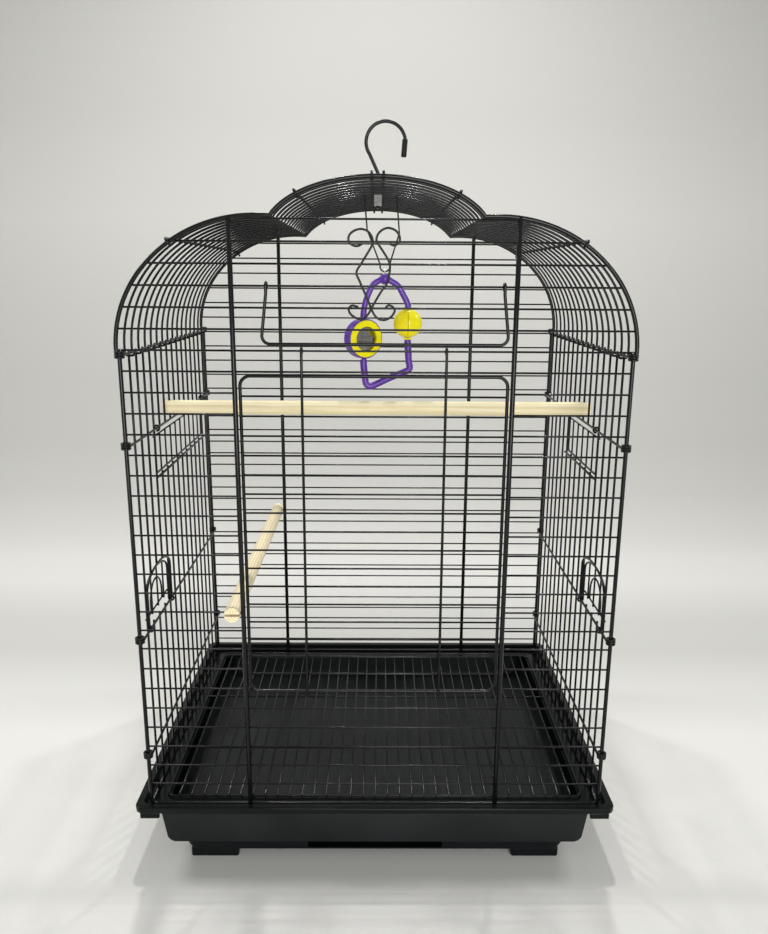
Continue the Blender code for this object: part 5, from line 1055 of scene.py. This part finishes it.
# painted light: a brighter pool painted on the backdrop round this centre, fading out over the given reach
distanceFromPaintedLight = newNode(tree, "VectorMath", {0: coords, 1: stageSet["paintedLightCentre"]}, operation="DISTANCE")
near, far = stageSet["paintedLightSpread"]
paintedLightLift = newNode(tree, "MapRange", {
    "Value": distanceFromPaintedLight.outputs["Value"], "From Min": near, "From Max": far, "To Min": stageSet["paintedLightGain"], "To Max": 1.0},
    interpolation_type="SMOOTHSTEP")
paperWithPaintedLight = newNode(tree, "VectorMath", {0: paperWithPaintedShade, "Scale": paintedLightLift.outputs["Result"]}, operation="SCALE")
setInputs(tree, shader, {"Base Color": paperWithPaintedLight.outputs["Vector"], "Roughness": stageSet["roughness"],
                         "Specular IOR Level": stageSet["specular"]})
floorEnd, bend = stageSet["backY"] - stageSet["bend"], stageSet["bend"]
profile = [(0, stageSet["frontY"], 0), (0, floorEnd, 0)]
profile += arc((0, floorEnd, bend), (0, 0, -1), (0, 1, 0), bend, 0, 90, stageSet["steps"])[1:]
profile.append((0, stageSet["backY"], stageSet["height"]))
work = bmesh.new()
spots = [work.verts.new(spot) for spot in profile]
line = [work.edges.new(pair) for pair in zip(spots, spots[1:])]
bmesh.ops.translate(work, verts=spots, vec=(-stageSet["half"], 0, 0))
bmesh.ops.translate(work, verts=extrudeRing(work, line)[0], vec=(2 * stageSet["half"], 0, 0))
faceOut(work)
sweep = newObject("sweep", work)
sweep.data.materials.append(stage)
shade(sweep.data)
if sweep.data.polygons[0].normal.z < 0:
    sweep.data.flip_normals()

lamps = {
    "keyLeft": {"place": (-0.27, 0.62, 1.85), "aim": (0, 0, 0.1), "size": 0.08, "watts": 9.0},
    "keyRight": {"place": (0.27, 0.62, 1.85), "aim": (0, 0, 0.1), "size": 0.08, "watts": 9.0},
    "leftLamp": {"place": (-1.40, 0.35, 1.5), "aim": (0, 0, 0.1), "size": 0.40, "watts": 10.5},
    "rightLamp": {"place": (1.40, 0.35, 1.5), "aim": (0, 0, 0.1), "size": 0.40, "watts": 7.0},
    "frontLamp": {"place": (0.35, -2.5, 0.7), "aim": (0, 0, 0.35), "size": 1.1, "watts": 41.0},
}
for name, lamp in lamps.items():
    light = bpy.data.lights.new(name, "AREA")
    light.shape = "SQUARE"
    light.size = lamp["size"]
    light.energy = lamp["watts"]
    item = bpy.data.objects.new(name, light)
    item.location = lamp["place"]
    item.rotation_euler = (Vector(lamp["aim"]) - Vector(lamp["place"])).to_track_quat("-Z", "Y").to_euler()
    bpy.context.scene.collection.objects.link(item)

air = {"color": (0.93, 0.94, 0.93, 1), "light": 0.25, "seen": 0.60}
world = bpy.data.worlds.new("studioAir")
world.use_nodes = True
tree = world.node_tree
rays = newNode(tree, "LightPath").outputs
looking = rays["Is Camera Ray"]
for kind in ("Is Glossy Ray", "Is Transmission Ray"):
    looking = newNode(tree, "Math", {0: looking, 1: rays[kind]}, operation="MAXIMUM").outputs["Value"]
level = newNode(tree, "MapRange", {"Value": looking, "To Min": air["light"], "To Max": air["seen"]})
setInputs(tree, tree.nodes["Background"], {"Color": air["color"], "Strength": level.outputs["Result"]})
bpy.context.scene.world = world

view = {"place": (0.0015, -0.8413, 0.5655), "pitch": 13.603, "yaw": 0.432, "roll": 0.360,
        "focal": 786.15, "imageHeight": 934, "sensor": 24.0, "clipStart": 0.01}
pitchTurn, yawTurn, rollTurn = (math.radians(view[key]) for key in ("pitch", "yaw", "roll"))
forward = Vector((math.sin(yawTurn) * math.cos(pitchTurn), math.cos(yawTurn) * math.cos(pitchTurn),
                  -math.sin(pitchTurn)))
flat = Vector((math.cos(yawTurn), -math.sin(yawTurn), 0))
rise = flat.cross(forward)
right = math.cos(rollTurn) * flat + math.sin(rollTurn) * rise
up = math.cos(rollTurn) * rise - math.sin(rollTurn) * flat
lens = bpy.data.cameras.new("photoView")
lens.sensor_fit = "VERTICAL"
lens.sensor_height = view["sensor"]
lens.lens = view["focal"] / view["imageHeight"] * view["sensor"]
lens.clip_start = view["clipStart"]
camera = bpy.data.objects.new("photoView", lens)
camera.matrix_world = Matrix.Translation(view["place"]) @ Matrix((right, up, -forward)).transposed().to_4x4()
bpy.context.scene.collection.objects.link(camera)
bpy.context.scene.camera = camera
bpy.context.scene.view_settings.view_transform = "Standard"
bpy.data.meshes.remove(scratch)
print("stage, lights and camera set")
